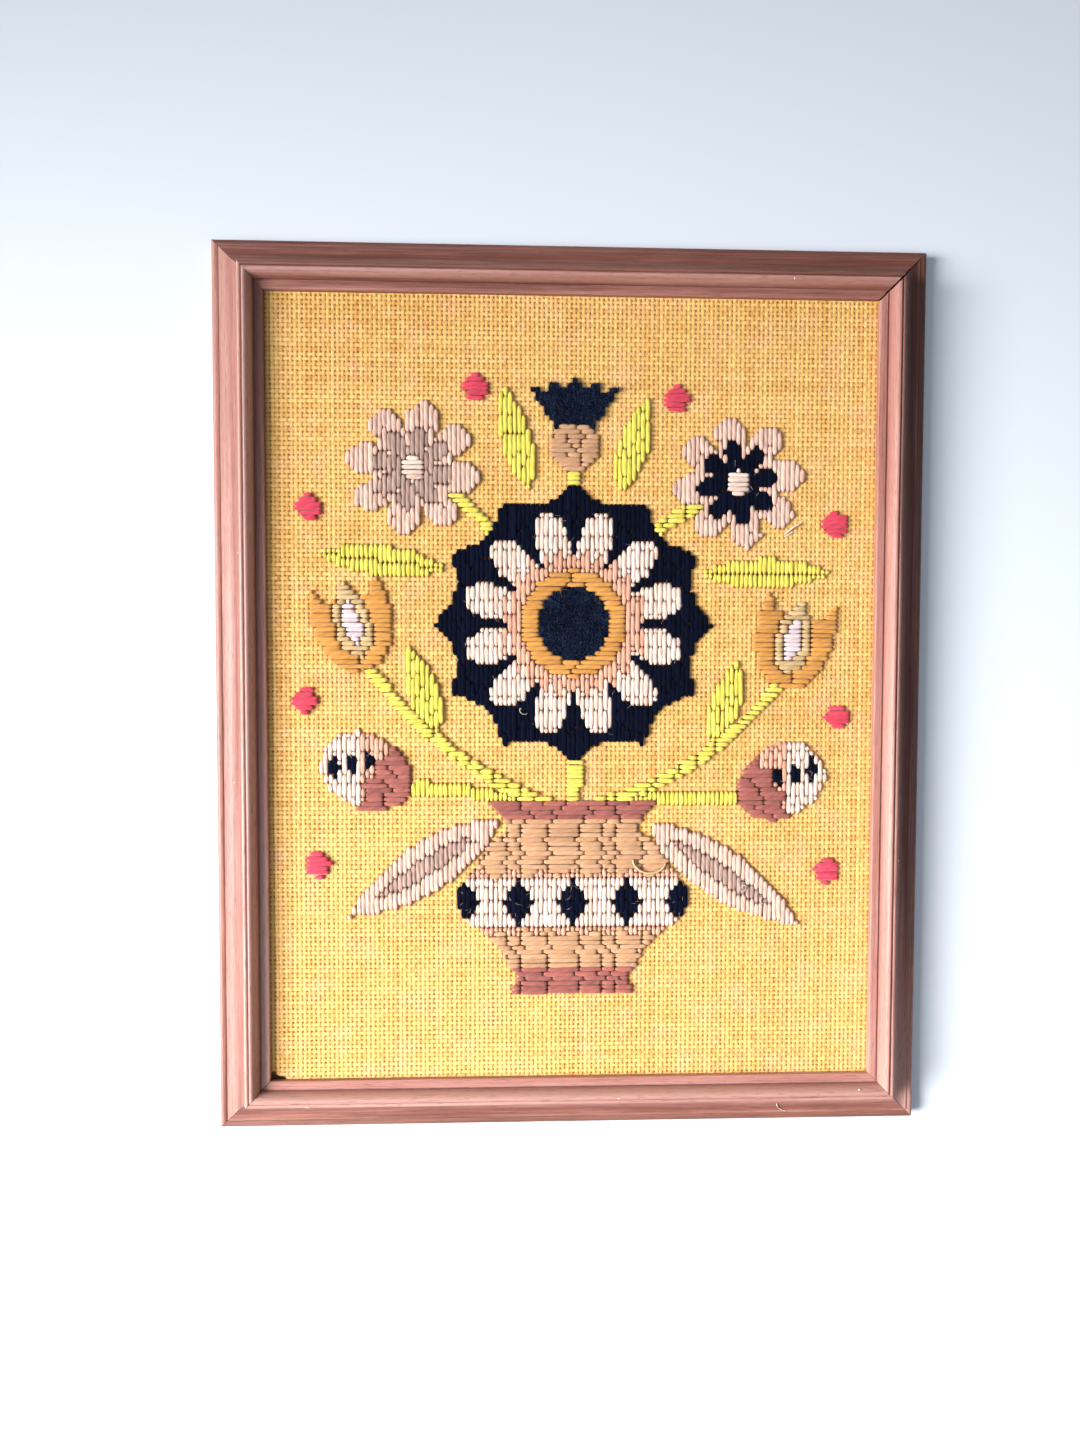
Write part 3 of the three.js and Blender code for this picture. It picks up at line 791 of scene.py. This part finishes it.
# Painted shade: the sheet under the threads is given the dark orange-brown of cloth in shade.
feed(sheet_shader, "Base Color", mix_colours(ribs_and_specks, (124, 68, 28), (168, 100, 44)))
feed_bump(sheet_shader, ribs, 0.5, 0.0003)
sheet_points, sheet_quads = cloth_sheet()
sheet = make_piece("cloth_sheet", sheet_points, [sheet_quads], [sheet_material])
solidify = sheet.modifiers.new("thickness", "SOLIDIFY")
solidify.thickness = SHEET["thick"] * MM
solidify.offset = -1
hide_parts("ground_cloth")
print("sheet quads", len(sheet_quads))

# %% [markdown]
# ## Threads of the weave
#
# Each thread rises over one crossing and dips under the next. It is a four-sided closed
# tube with a flat top and sloping flanks, with one ring on each crossing. The flanks come
# close to those of its neighbours, so that only a small hole is left between four
# crossings, and a thread is painted darker where it goes under, as painted shade. Warp and
# weft are the same shape turned. Dye takes unevenly, so the finish has pale lengths,
# stains and a faint blush.

# %% Thread finish
BLUSH = (238, 184, 158)


def thread_material(name, colour, shadow):
    """The finish of one set of threads, from its colour to its shadow."""
    fixed = {"Roughness": 0.9, "Sheen Weight": 0.08, "Specular IOR Level": 0.2}
    material, shader, start = new_material(name, fixed)
    place = object_place(start)
    shade = stored_number(start, "shade")
    # dark mixes painted shade, where a thread goes under, with the dye's uneven stains.
    dark = (1 - shade) * 0.5 + noise(place, 260.0) * 0.35 + noise(place, 14.0) * 0.3 - 0.3
    blush = noise(place, 75.0, 3.0) * 2.4 - 1.15
    plain = mix_colours(dark, colour, shadow)
    feed(shader, "Base Color", mix_colours(blush * 0.5, plain, BLUSH))
    feed_bump(shader, noise(place, 3500.0), 0.5, 0.0002)
    return material


warp_material = thread_material("warp_thread", (234, 194, 119), (178, 106, 30))
weft_material = thread_material("weft_thread", (240, 201, 126), (186, 114, 36))
print("thread finishes ready")

# %% Warp and weft
THREAD = {"wide": 0.93, "flat": 0.5, "high": 0.27, "foot": 0.12, "swing": 0.24}
UNEVEN = {"sway": 0.16, "thick": 0.12, "slub": 0.05}
# How much darker a thread is painted where it goes under: painted shade.
UNDER_SHADE = -0.75
inner = owner >= 0
hidden = inner.copy()
hidden[1:-1, 1:-1] &= inner[:-2, 1:-1] & inner[2:, 1:-1] & inner[1:-1, :-2] & inner[1:-1, 2:]


def threads(parity, upright):
    """Every second thread of one direction, a ring to each crossing: a broad foot below
    and a narrower flat top. Stretches that stitches hide are left out."""
    lines = np.arange(parity, COLUMNS if upright else ROWS, 2)
    crossings = ROWS if upright else COLUMNS
    size = (len(lines), crossings)
    on_top = (np.arange(crossings) + parity + (0 if upright else 1)) % 2 == 0
    along = np.broadcast_to(row_y if upright else column_x, size)
    places = column_x[lines] if upright else row_y[lines]
    across = places[:, None] + soft_noise(*size, 12) * UNEVEN["sway"]
    x, y = (across, along) if upright else (along, across)
    z = CLOTH_TOP - THREAD["high"] - np.where(on_top, 0, THREAD["swing"]) + lie(x, y)
    slub = rng.normal(0, UNEVEN["slub"], (len(lines), 1))
    thick = (1 + UNEVEN["thick"] * soft_noise(*size, 3) + slub)[..., None]
    side = np.array([-1.0, 0, 0]) if upright else np.array([0, 1.0, 0])
    up = np.array([0, 0, 1.0])
    centre = np.stack([x, y, z], -1)
    foot = centre - up * THREAD["foot"] * thick
    top = centre + up * THREAD["high"] * (0.4 + 0.6 * thick)
    wide, flat = side * THREAD["wide"] * thick, side * THREAD["flat"] * thick
    points = np.stack([foot + wide, top + flat, top - flat, foot - wide], 2)
    bare = (hidden[lines] if upright else hidden[:, lines].T) | fray_gap(x, y)
    shown = ~(bare[:, 1:] | bare[:, :-1])
    number = np.arange(len(lines) * crossings * 4).reshape(*size, 4)
    low, high = number[:, :-1][shown], number[:, 1:][shown]
    quads = np.stack([low, np.roll(low, -1, 1), np.roll(high, -1, 1), high], -1).reshape(-1, 4)
    before = np.pad(shown, ((0, 0), (1, 0)))
    after = np.pad(shown, ((0, 0), (0, 1)))
    first, last = number[after & ~before], number[before & ~after]
    faces = np.concatenate([quads, first[:, ::-1], last])
    tone = 0.7 + 0.25 * soft_noise(*size, 40) + 0.3 * soft_noise(*size, 1)
    tone = tone + rng.normal(0, 0.12, (len(lines), 1)) + np.where(on_top, 0, UNDER_SHADE)
    return points.reshape(-1, 3), faces, np.repeat(tone.ravel(), 4)


def weave_piece(name, upright, material):
    """Both sets of alternate threads of one direction, with unused points dropped."""
    points, faces, shade = zip(*[threads(parity, upright) for parity in (0, 1)])
    both_faces = np.concatenate([faces[0], faces[1] + len(points[0])])
    used, again = np.unique(both_faces, return_inverse=True)
    points, shade = np.concatenate(points)[used], np.concatenate(shade)[used]
    quads = again.reshape(-1, 4)
    piece = make_piece(name, points, [quads], [material], stored={"shade": shade})
    print(name, "triangles", 2 * len(quads))
    return piece


warp = weave_piece("cloth_warp", True, warp_material)
weft = weave_piece("cloth_weft", False, weft_material)

# %% [markdown]
# ## Wool
#
# Tapestry wool has two soft plies. Its twist shows as slanting ridges, its fibres make it
# matt with a faint sheen, and every length taken from the skein is a little lighter or
# darker. The twist follows the piece's own map: once round the yarn and so many
# millimetres along it make one turn. Each wool has its colour in light and in shade.

# %% Wool finish
WOOLS = {
    "navy": ((8, 15, 38), (1, 3, 8)),
    "cream": ((240, 223, 212), (196, 158, 138)),
    "peach": ((234, 184, 158), (186, 120, 96)),
    "camel": ((210, 164, 124), (160, 116, 82)),
    "rust": ((180, 104, 92), (108, 52, 48)),
    "chartreuse": ((240, 228, 104), (192, 174, 52)),
    "taupe": ((238, 204, 188), (176, 134, 118)),
    "mushroom": ((192, 162, 150), (118, 92, 80)),
    "coral": ((240, 74, 104), (172, 26, 52)),
    "ochre": ((224, 162, 76), (166, 106, 38)),
    "beige": ((222, 196, 144), (156, 120, 74)),
    "lilac": ((236, 222, 226), (178, 152, 158)),
}
PLY = {"plies": 2, "turn": 6.4}


def wool_material(name, light, dark):
    """The finish of one wool. Ridges rise and fall with the sine of the twist, and hairs
    run along it; the crests of the ridges are also painted lighter, as painted light. Navy
    drinks the light, so it has less sheen and gloss."""
    sheen, gloss = (0.02, 0.06) if name == "navy" else (0.25, 0.5)
    fixed = {"Roughness": 0.9, "Sheen Weight": sheen, "Specular IOR Level": gloss}
    material, shader, start = new_material("wool_" + name, fixed)
    around, along = own_map(start)
    phase = around * PLY["plies"] + along / PLY["turn"]
    ridge = start.math("SINE", phase * (2 * math.pi)) * 0.5 + 0.5
    hair_sockets = {0: phase * 9.0, 1: along * 0.35, 2: 0.0}
    hair = noise(start.node("ShaderNodeCombineXYZ", sockets=hair_sockets), 1.0, 3.0)
    # Painted light and shade: the crests of the twist and the middle of each yarn are painted
    # lighter, and its ends darker where it dives; the hairs and each yarn's own tone vary it as the
    # wool itself does.
    lit = ridge * 0.16 + hair * 0.95 + stored_number(start, "shade") * 0.5 - 0.24
    feed(shader, "Base Color", mix_colours(lit, dark, light))
    feed_bump(shader, ridge * 0.45 + hair * 0.8, 0.8, 0.0003)
    return material


wool = {name: wool_material(name, *colours) for name, colours in WOOLS.items()}
print("wools", len(wool))

# %% [markdown]
# ## Stitches
#
# A stitch comes up through one hole, lies along the cloth and goes down through another.
# Its middle is level and its ends dive in over about a yarn's width. Stitches lie side by
# side, one for each thread, and a long row is broken into even lengths, because a stitch
# much longer than a finger's width would snag. Some wools are fuller than others and hide
# the cloth better. A yarn has four rings at each end, and is painted darker where it dives,
# as painted shade.

# %% From chart to stitches
def find_stitches(label, longest):
    """Line, start, end and label of each stitch: the unbroken runs of one label along the
    last axis, with long runs split into equal parts that step in and out a little."""
    padded = np.pad(label, ((0, 0), (1, 1)), constant_values=-1)
    change = padded[:, 1:] != padded[:, :-1]
    line, begin = np.nonzero(change & (padded[:, 1:] >= 0))
    finish = np.nonzero(change & (padded[:, :-1] >= 0))[1]
    length = finish - begin
    parts = np.ceil(length / longest).astype(int)
    whose = np.repeat(np.arange(len(line)), parts)
    part = np.arange(len(whose)) - np.repeat(np.cumsum(parts) - parts, parts)

    def cut(k):
        inside = (k > 0) & (k < parts[whose])
        jog = (line[whose] * 5 + k * 2) % 3 - 1
        even = np.round(length[whose] * k / parts[whose]).astype(int)
        return begin[whose] + even + np.where(inside, jog, 0)

    found = label[line[whose], begin[whose]]
    stitches = np.stack([line[whose], cut(part), cut(part + 1), found])
    return stitches[:, stitches[2] > stitches[1]]


print("runs ready")

# %% The yarn of each stitch
YARN = {"wide": 1.04, "high": 0.52, "dive": 1.6, "foot": 0.3}
FULLER = {"navy": 1.18, "camel": 1.09, "rust": 1.07, "taupe": 1.04, "mushroom": 1.05}
YARN_SECTION = np.array([-40.0, 15.0, 52.0, 90.0, 128.0, 165.0, 220.0])
RING_SHARES = np.array([0.0, 0.2, 0.58, 1.0])
# How much darker each ring is painted: the ends, where the yarn dives into the cloth, carry painted
# shade.
RING_SHADE = np.array([-0.45, -0.1, 0.0, 0.05, 0.05, 0.0, -0.1, -0.45])
TALLEST_STITCH, UNDER_PILE = 1.6, 1.0
PILED = ("daisy_eye", "thistle_tuft")


def stitch_arrays(line, begin, finish, upright, top, full):
    """Closed yarns over the given cells. full widens each yarn. The centre line rises by a
    quarter ellipse from the hole at each end to a level middle under the motif's own top."""
    places = column_x if upright else row_y
    ways = row_y if upright else column_x
    first, last = ways[begin] - PITCH / 2, ways[finish - 1] + PITCH / 2
    count = len(line)
    length = (last - first)[:, None]
    near = np.minimum(YARN["dive"], 0.46 * length) * RING_SHARES
    along = np.concatenate([near, length - near[:, ::-1]], axis=1)
    ramp = np.sqrt(1 - (1 - RING_SHARES) ** 2)
    lift = np.broadcast_to(np.concatenate([ramp, ramp[::-1]]), along.shape)
    lean = rng.uniform(-0.2, 0.2, (count, 2))
    share = along / length
    across = places[line][:, None] + lean[:, :1] * (1 - share) + lean[:, 1:] * share
    way = first[:, None] + along
    x, y = (across, way) if upright else (way, across)
    level = top - YARN["high"] + rng.normal(-0.05, 0.11, (count, 1))
    foot = CLOTH_TOP + YARN["foot"]
    z = foot + (level - foot) * lift + lie(x, y)
    size = rng.normal(1, 0.06, (count, 1)) * rng.normal(1, 0.04, along.shape)
    swell = np.concatenate([RING_SHARES, RING_SHARES[::-1]]) ** 0.6
    wide = YARN["wide"] * size * full[:, None] * (0.42 + 0.58 * swell)
    high = YARN["high"] * size * (0.6 + 0.4 * lift)
    side = np.tile([-1.0, 0, 0] if upright else [0, 1.0, 0], (count, 1))
    up = np.tile([0, 0, 1.0], (count, 1))
    return tubes(np.stack([x, y, z], -1), side, up, wide, high, YARN_SECTION)


print("yarn ready")

# %% [markdown]
# ## Ways of filling a motif
#
# A worker fills each shape in the way that suits it. Satin runs right across, bricks are
# staggered like a wall, a leaf is broken along its vein, blocks of side-by-side stitches
# meet in a zigzag seam, and a petal goes from peach at its root to cream at its tip. Each
# way gives every cell two whole numbers: the block that it belongs to, because a stitch
# never leaves its block, and which of the motif's wools it is worked in.

# %% Fillings in one wool
PLAIN = np.zeros_like(column)


def satin(cells):
    """One block in one wool."""
    return PLAIN, PLAIN


def bricks(cells, tall=6):
    """Staggered rows: every second column starts half a brick higher."""
    return (row + (column % 2) * (tall // 2) + 60) // tall, PLAIN


def middle_of(cells):
    """The mean place of a motif's cells."""
    return cell_x[cells].mean(), cell_y[cells].mean()


def veined(cells):
    """Two halves, to either side of the line along which the motif is longest."""
    x, y = [c - middle for c, middle in zip((cell_x, cell_y), middle_of(cells))]
    spread = np.cov(np.stack([x[cells], y[cells]]))
    main = np.linalg.eigh(spread)[1][:, -1]
    return (main[0] * y - main[1] * x > 0).astype(int), PLAIN


def blocks(cells, seams=(7, 12, 15), repeat=21):
    """Columns of stitches of unequal width, whose upright seams are a little ragged."""
    ragged = column + (row % 5 == 0) - (row % 7 == 3)
    block = (ragged // repeat) * (len(seams) + 1) + np.searchsorted(seams, ragged % repeat, "right")
    return block, PLAIN


print("plain fillings ready")

# %% Fillings in several wools
def petals(cells):
    """Bricks that go from the second wool at the flower's middle to the first outside."""
    x, y = middle_of(cells)
    out = np.hypot(cell_x - x, cell_y - y)
    ragged = 0.62 * out[cells].max() + 2.2 * ((column * 7) % 3 - 1)
    return bricks(cells, 7)[0], (out < ragged).astype(int)


def seeded(cells, apart=12, tall=5.5, broad=3.2):
    """Bricks with a row of small lozenges along the motif's middle, and the second wool
    near its edges."""
    step = (column - round(column[cells].mean())) % apart
    off = np.minimum(step, apart - step)
    rise = np.abs(cell_y - middle_of(cells)[1]) / PITCH
    lozenge = off / broad + rise / tall < 1
    edge = rise > 0.36 * np.ptp(row[cells])
    return bricks(cells)[0], np.where(lozenge, 2, np.where(edge, 1, 0))


def budded(cells, apart=(7.5, 1.5), half=(2.6, 6.0), inset=4.5):
    """Bricks with three small seeds in a row and the second wool on one side."""
    x, y = middle_of(cells)
    seeds = np.zeros_like(column, bool)
    for k in (-1, 0, 1):
        dx, dy = cell_x - x - apart[0] * k, cell_y - y - apart[1] * k
        seeds |= np.abs(dx) / half[0] + np.abs(dy) / half[1] < 1
    inner_side = np.abs(cell_x) < abs(x) - inset
    return bricks(cells, 5)[0], np.where(seeds, 2, inner_side.astype(int))


print("mixed fillings ready")

# %% [markdown]
# ## Working the motifs
#
# The table says how each kind of motif is worked: upright or across, the longest stitch
# in threads, the filling and the wools. A star stands for any text, so one row does for
# both sides of the picture. Each motif becomes one piece of closed yarns that stands in
# for its solid.

# %% The motifs' table
WAYS = [
    ("daisy_eye", True, 5, satin, ["navy"]),
    ("daisy_ring", False, 7, satin, ["ochre"]),
    ("daisy_petals", True, 8, petals, ["cream", "peach"]),
    ("daisy_back", True, 8, satin, ["navy"]),
    ("aster_*_eye", False, 6, satin, ["cream"]),
    ("aster_left_heart", True, 7, satin, ["mushroom"]),
    ("aster_right_heart", True, 7, satin, ["navy"]),
    ("aster_*_petals", True, 7, satin, ["taupe"]),
    ("tulip_*_cup", False, 8, satin, ["ochre"]),
    ("tulip_*_petal", False, 8, satin, ["beige"]),
    ("tulip_*_heart", False, 8, satin, ["lilac"]),
    ("bud_*_seed", True, 6, budded, ["cream", "peach", "navy"]),
    ("bud_*_cup", False, 7, satin, ["rust"]),
    ("thistle_globe", False, 6, blocks, ["camel"]),
    ("thistle_tuft", True, 5, satin, ["navy"]),
    ("vase_rim", False, 7, satin, ["rust"]),
    ("vase_band", True, 7, seeded, ["cream", "peach", "navy"]),
    ("vase_foot", False, 8, blocks, ["rust"]),
    ("vase_shoulder", False, 10, blocks, ["camel"]),
    ("vase_belly", False, 10, blocks, ["camel"]),
    ("plume_*_heart", True, 7, satin, ["mushroom"]),
    ("plume_*_vane", True, 7, satin, ["taupe"]),
    ("berry_*", False, 9, satin, ["coral"]),
    ("stem_aster_*", False, 4, satin, ["chartreuse"]),
    ("stem_bud_*", True, 4, satin, ["chartreuse"]),
    ("stem_[dt]*", False, 4, satin, ["chartreuse"]),
    ("leaf_*", True, 8, veined, ["chartreuse"]),
]
plan = {name: way for kind, *way in WAYS for name in MOTIFS if fnmatch(name, kind)}
print("motifs", len(plan), "not in the table", set(MOTIFS) - set(plan))


def work_motif(name, upright, longest, filling, wools):
    """The stitches of one motif. A label holds a cell's block and its wool, and each yarn
    has a tone of its own, painted darker at its ends as painted shade where it dives."""
    cells = owner == MOTIFS.index(name)
    block, tint = filling(cells)
    label = np.where(cells, block * 4 + tint, -1)
    line, begin, finish, found = find_stitches(label if upright else label.T, longest)
    which = found % 4
    tallest = UNDER_PILE if name in PILED else TALLEST_STITCH
    top = min(box_mm(name)[1][2], CLOTH_TOP + tallest)
    full = np.array([FULLER.get(w, 1.0) for w in wools])[which]
    points, faces, uv = stitch_arrays(line, begin, finish, upright, top, full)
    count = len(line)
    ring_tone = np.clip(rng.normal(0.5, 0.2, count), 0, 1)[:, None] + RING_SHADE
    offset = rng.uniform(0, 20, count)[:, None]
    for part in uv:
        part.reshape(count, -1, 2)[..., 1] += offset
    shade = np.concatenate([np.repeat(ring_tone, len(YARN_SECTION), 1), ring_tone[:, [0, -1]]], 1)
    skeins = [wool[w] for w in wools]
    picks = share_out(which, faces)
    piece = make_piece(name + "_wool", points, faces, skeins, uv, {"shade": shade}, picks)
    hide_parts(name)
    return piece, count


worked = [work_motif(name, *way) for name, way in plan.items()]
print("stitches", sum(count for _, count in worked))
print("wool triangles", sum(2 * len(piece.data.polygons) for piece, _ in worked))

# %% [markdown]
# ## Cut pile
#
# The eye of the daisy and the top of the thistle are loops that were cut and brushed. A
# particle system could grow them, but short tapered tufts made as one mesh keep their
# shape when the model is saved. Each tuft is a three-sided spike that leans a little.

# %% Pile
PILE = {"apart": 0.44, "root": 0.2, "waist": 0.19, "waist_at": 0.6, "sunk": 0.2}
# Tone of each tuft's root, waist and tip: painted darker at the root, as painted shade, and lighter
# towards the tip, as painted light.
TUFT_SHADE = [0.2, 0.2, 0.2, 0.7, 0.7, 0.7, 1.1]


def pile_piece(node, name):
    """Tufts on a shaken grid over a motif's cells, from the cloth to the motif's top. Each
    has three points at its root, three at its waist and a tip, which leans outwards."""
    low, high = box_mm(node)
    grid = [np.arange(low[k], high[k], PILE["apart"]) for k in (0, 1)]
    spot = np.stack(np.meshgrid(*grid), -1).reshape(-1, 2)
    spot = spot + rng.uniform(-0.25, 0.25, spot.shape)
    spot = spot[owner[cell_at(*spot.T)] == MOTIFS.index(node)]
    count = len(spot)
    centre = spot.mean(0)
    outward = (spot - centre) / np.abs(spot - centre).max()
    swirl = np.sin(spot[:, [1, 0]] / 2.3) * 0.35
    lean = rng.normal(0, 0.38, (count, 2)) + 0.4 * outward + swirl
    tall = (high[2] - CLOTH_TOP) * rng.uniform(0.62, 1.0, count)
    angle = rng.uniform(0, 2 * np.pi, (count, 1)) + np.arange(3) * 2 * np.pi / 3
    circle = np.stack([np.cos(angle), np.sin(angle), np.zeros_like(angle)], -1)
    root = np.column_stack([spot, np.full(count, CLOTH_TOP - PILE["sunk"])])
    bend = np.column_stack([lean, tall])
    waist = root + bend * [0.3, 0.3, 1] * PILE["waist_at"]
    rings = [root[:, None] + circle * PILE["root"], waist[:, None] + circle * PILE["waist"]]
    points = np.concatenate([*rings, (root + bend)[:, None]], axis=1)
    tuft = (ring_quads(2, 3)[0], fan(3, 6, 3), np.array([[2, 1, 0]]))
    quads, *triangles = [repeat_faces(f, count, len(TUFT_SHADE)) for f in tuft]
    # A few tufts are pale, partly as paler fibres and partly as painted highlights.
    tone = np.clip(rng.normal(0.3, 0.26, count), 0, 1) + (rng.random(count) < 0.05) * 0.8
    faces, stored = [quads, np.concatenate(triangles)], {"shade": tone[:, None] * TUFT_SHADE}
    piece = make_piece(name, points.reshape(-1, 3), faces, [pile_material], stored=stored)
    print(name, "tufts", count)
    return piece


fixed = {"Roughness": 0.8, "Sheen Weight": 0.03, "Specular IOR Level": 0.08}
pile_material, pile_shader, start = new_material("navy_pile", fixed)
cloudy = noise(object_place(start), 300.0)
# The pile's pale colour stands partly for paler fibres and partly as a painted highlight on the
# fluff.
pile_tone_and_light = stored_number(start, "shade") * 0.8 + cloudy * 0.35 - 0.15
feed(pile_shader, "Base Color", mix_colours(pile_tone_and_light, (2, 6, 16), (70, 92, 138)))
piles = [pile_piece("daisy_eye", "daisy_pile"), pile_piece("thistle_tuft", "thistle_pile")]

# %% [markdown]
# ## Loose fibres
#
# Wool sheds: fine fibres stand off every stitch and catch the light. A few longer bits lie
# about, such as a pale thread on the cloth, a loop of yarn that has worked loose, and
# curls of lint on the wool and the wood. All of them are thin closed tubes along a curve.

# %% Tubes that lie on whatever is below
FIBRE_SECTION = np.array([-30.0, 90.0, 210.0])
LINT_SECTION = np.array([-54.0, 18.0, 90.0, 162.0, 234.0])


def surface(x, y):
    """Height of whatever lies on top at a place: moulding, wool or cloth."""
    out = np.maximum(np.abs(x) - SIGHT_X, np.abs(y) - SIGHT_Y)
    top_side = section[section[:, 1] > BAND["side"] - 0.01]
    top_side = top_side[np.argsort(top_side[:, 0])]
    tops = [min(box_mm(node)[1][2], CLOTH_TOP + TALLEST_STITCH) for node in MOTIFS]
    worked_top = np.array([*tops, CLOTH_TOP])[owner[cell_at(x, y)]]
    return np.where(out > 0, np.interp(out, *top_side.T), worked_top + lie(x, y))


def fibres(x, y, z, thick, degrees):
    """Closed tubes along curves given as [fibre, ring] arrays, tapered at both ends."""
    path = np.stack([x, y, z], -1)
    way = np.gradient(path, axis=1)
    side = np.stack([-way[..., 1], way[..., 0], 0 * x], -1)
    side /= np.linalg.norm(side, axis=2, keepdims=True) + 1e-9
    taper = 1 - 0.6 * np.abs(np.linspace(-1, 1, x.shape[1])) ** 4
    radius = np.broadcast_to(thick * taper, x.shape)
    up = np.tile([0, 0, 1.0], (len(x), 1))
    return tubes(path, side, up, radius, radius, degrees)


print("fibres ready")

# %% Fuzz on the wool
FUZZ = {"count": 1500, "long": (2.0, 4.6), "thick": 0.045, "rings": 5, "rise": (0.1, 0.6)}
# A high tone: loose fibres are painted lighter than the wool they stand on, a painted highlight for
# the light that they catch.
FIBRE_SHADE = 0.9


def fuzz_piece():
    """Short fibres from random places on the wool, in the colour below them: equal steps
    whose heading turns steadily, raised in the middle by a sine."""
    one_each = (FUZZ["count"], 1)
    cells = np.argwhere(owner >= 0)
    pick = cells[rng.integers(0, len(cells), FUZZ["count"])]
    share = np.linspace(0, 1, FUZZ["rings"])
    heading = rng.uniform(0, 2 * np.pi, one_each) + rng.normal(0, 1.1, one_each) * share
    step = rng.uniform(*FUZZ["long"], one_each) / FUZZ["rings"]
    x = column_x[pick[:, :1]] + rng.uniform(-1, 1, one_each) + (np.cos(heading) * step).cumsum(1)
    y = row_y[pick[:, 1:]] + rng.uniform(-1, 1, one_each) + (np.sin(heading) * step).cumsum(1)
    rise = rng.uniform(*FUZZ["rise"], one_each) * np.sin(np.pi * share)
    z = surface(x[:, :1], y[:, :1]) - 0.05 + rise
    points, faces, uv = fibres(x, y, z, FUZZ["thick"], FIBRE_SECTION)
    names = sorted(WOOLS)
    main_wool = np.array([names.index(plan[node][3][0]) for node in MOTIFS])
    whose = main_wool[owner[tuple(pick.T)]]
    picks = share_out(whose, faces)
    stored = {"shade": np.full(len(points), FIBRE_SHADE)}
    piece = make_piece("wool_fuzz", points, faces, [wool[n] for n in names], uv, stored, picks)
    return piece


fuzz = fuzz_piece()
print("fuzz faces", len(fuzz.data.polygons))

# %% Loose threads and lint: name, place, drift, radius, turns, thickness and wool
LINT = [
    ("pale_thread", (92.5, 69.5), (9.0, 5.6), 0.4, 0.5, 0.5, "cream"),
    ("pale_thread_end", (93, 68.4), (4.6, 2.4), 0.3, 0.4, 0.34, "cream"),
    ("yarn_loop", (24, -76.5), (17.0, -2.0), 2.6, 1.2, 0.46, "beige"),
    ("lint_curl_1", (75, -88), (2.0, 1.2), 1.1, 1.6, 0.2, "cream"),
    ("lint_curl_2", (84, -92), (1.4, -2.4), 0.8, 1.1, 0.22, "cream"),
    ("lint_curl_3", (-24, -8), (2.8, -1.0), 1.0, 0.9, 0.16, "cream"),
    ("rail_lint", (92, -188.5), (6.4, -1.2), 1.5, 0.7, 0.2, "cream"),
    ("rail_scratch", (-118, -181.5), (5.0, -0.8), 0.9, 0.4, 0.14, "cream"),
]
LINT_RINGS = 22


def lint_piece(name, at, drift, radius, turns, thick, skein):
    """One loose thread: a circle that drifts while it turns, laid on what is below."""
    share = np.linspace(0, 1, LINT_RINGS)[None]
    angle = 2 * np.pi * turns * share + 0.4
    x = at[0] + drift[0] * share + radius * np.cos(angle)
    y = at[1] + drift[1] * share + radius * np.sin(angle)
    z = surface(x, y) + thick * (0.7 + 1.2 * np.sin(np.pi * share))
    points, faces, uv = fibres(x, y, z, thick, LINT_SECTION)
    stored = {"shade": np.full(len(points), FIBRE_SHADE)}
    piece = make_piece(name, points, faces, [wool[skein]], uv, stored)
    return piece


lint = [lint_piece(*row) for row in LINT]
print("lint", len(lint))

# %% [markdown]
# ## Chips and specks on the frame
#
# The mitre at the lower left has lost a chip, which shows pale raw wood, and there are a
# few specks of old paint. Each is a low closed flake that sits on the moulding.

# %% Flakes: place across and up, length, breadth and turn in degrees
FLAKES = np.array([
    (-144.2, -182.4, 1.5, 0.9, 40),
    (-143.0, -183.4, 0.9, 0.5, 100),
    (94.0, 177.8, 0.8, 0.4, 150),
    (147.6, -76.0, 0.6, 0.4, 80),
    (128.0, -177.0, 0.8, 0.35, 20),
    (-145.6, 60.0, 0.5, 0.3, 90),
    (-149.0, -40.0, 0.5, 0.25, 70),
    (20.0, -179.0, 0.6, 0.25, 10),
])
FLAKE = {"sides": 9, "lift": 0.04, "crown": 0.1, "foot": -0.3}


def flakes():
    """A ragged ellipse of points round each place, with a crown a little higher in its
    middle and a foot below."""
    sides = FLAKE["sides"]
    mid_x, mid_y, long, broad, turn = FLAKES.T[..., None]
    angle = np.arange(sides) * 2 * np.pi / sides
    ragged = rng.uniform(0.7, 1.15, (len(FLAKES), sides))
    along, across = long * np.cos(angle) * ragged, broad * np.sin(angle) * ragged
    turn = np.radians(turn)
    x = mid_x + along * np.cos(turn) - across * np.sin(turn)
    y = mid_y + along * np.sin(turn) + across * np.cos(turn)
    x, y = np.hstack([x, mid_x, mid_x]), np.hstack([y, mid_y, mid_y])
    z = surface(x, y) + FLAKE["lift"]
    z[:, -2:] += FLAKE["crown"], FLAKE["foot"]
    one = np.concatenate([fan(sides, sides), fan(sides, sides + 1)[:, ::-1]])
    return np.stack([x, y, z], -1).reshape(-1, 3), repeat_faces(one, len(FLAKES), sides + 2)


raw_wood = mottled("raw_wood", 0.8, (196, 172, 158), (246, 236, 226), 900.0)[0]
flake_points, flake_faces = flakes()
chips = make_piece("frame_chips", flake_points, [flake_faces], [raw_wood])
print("flakes", len(FLAKES))
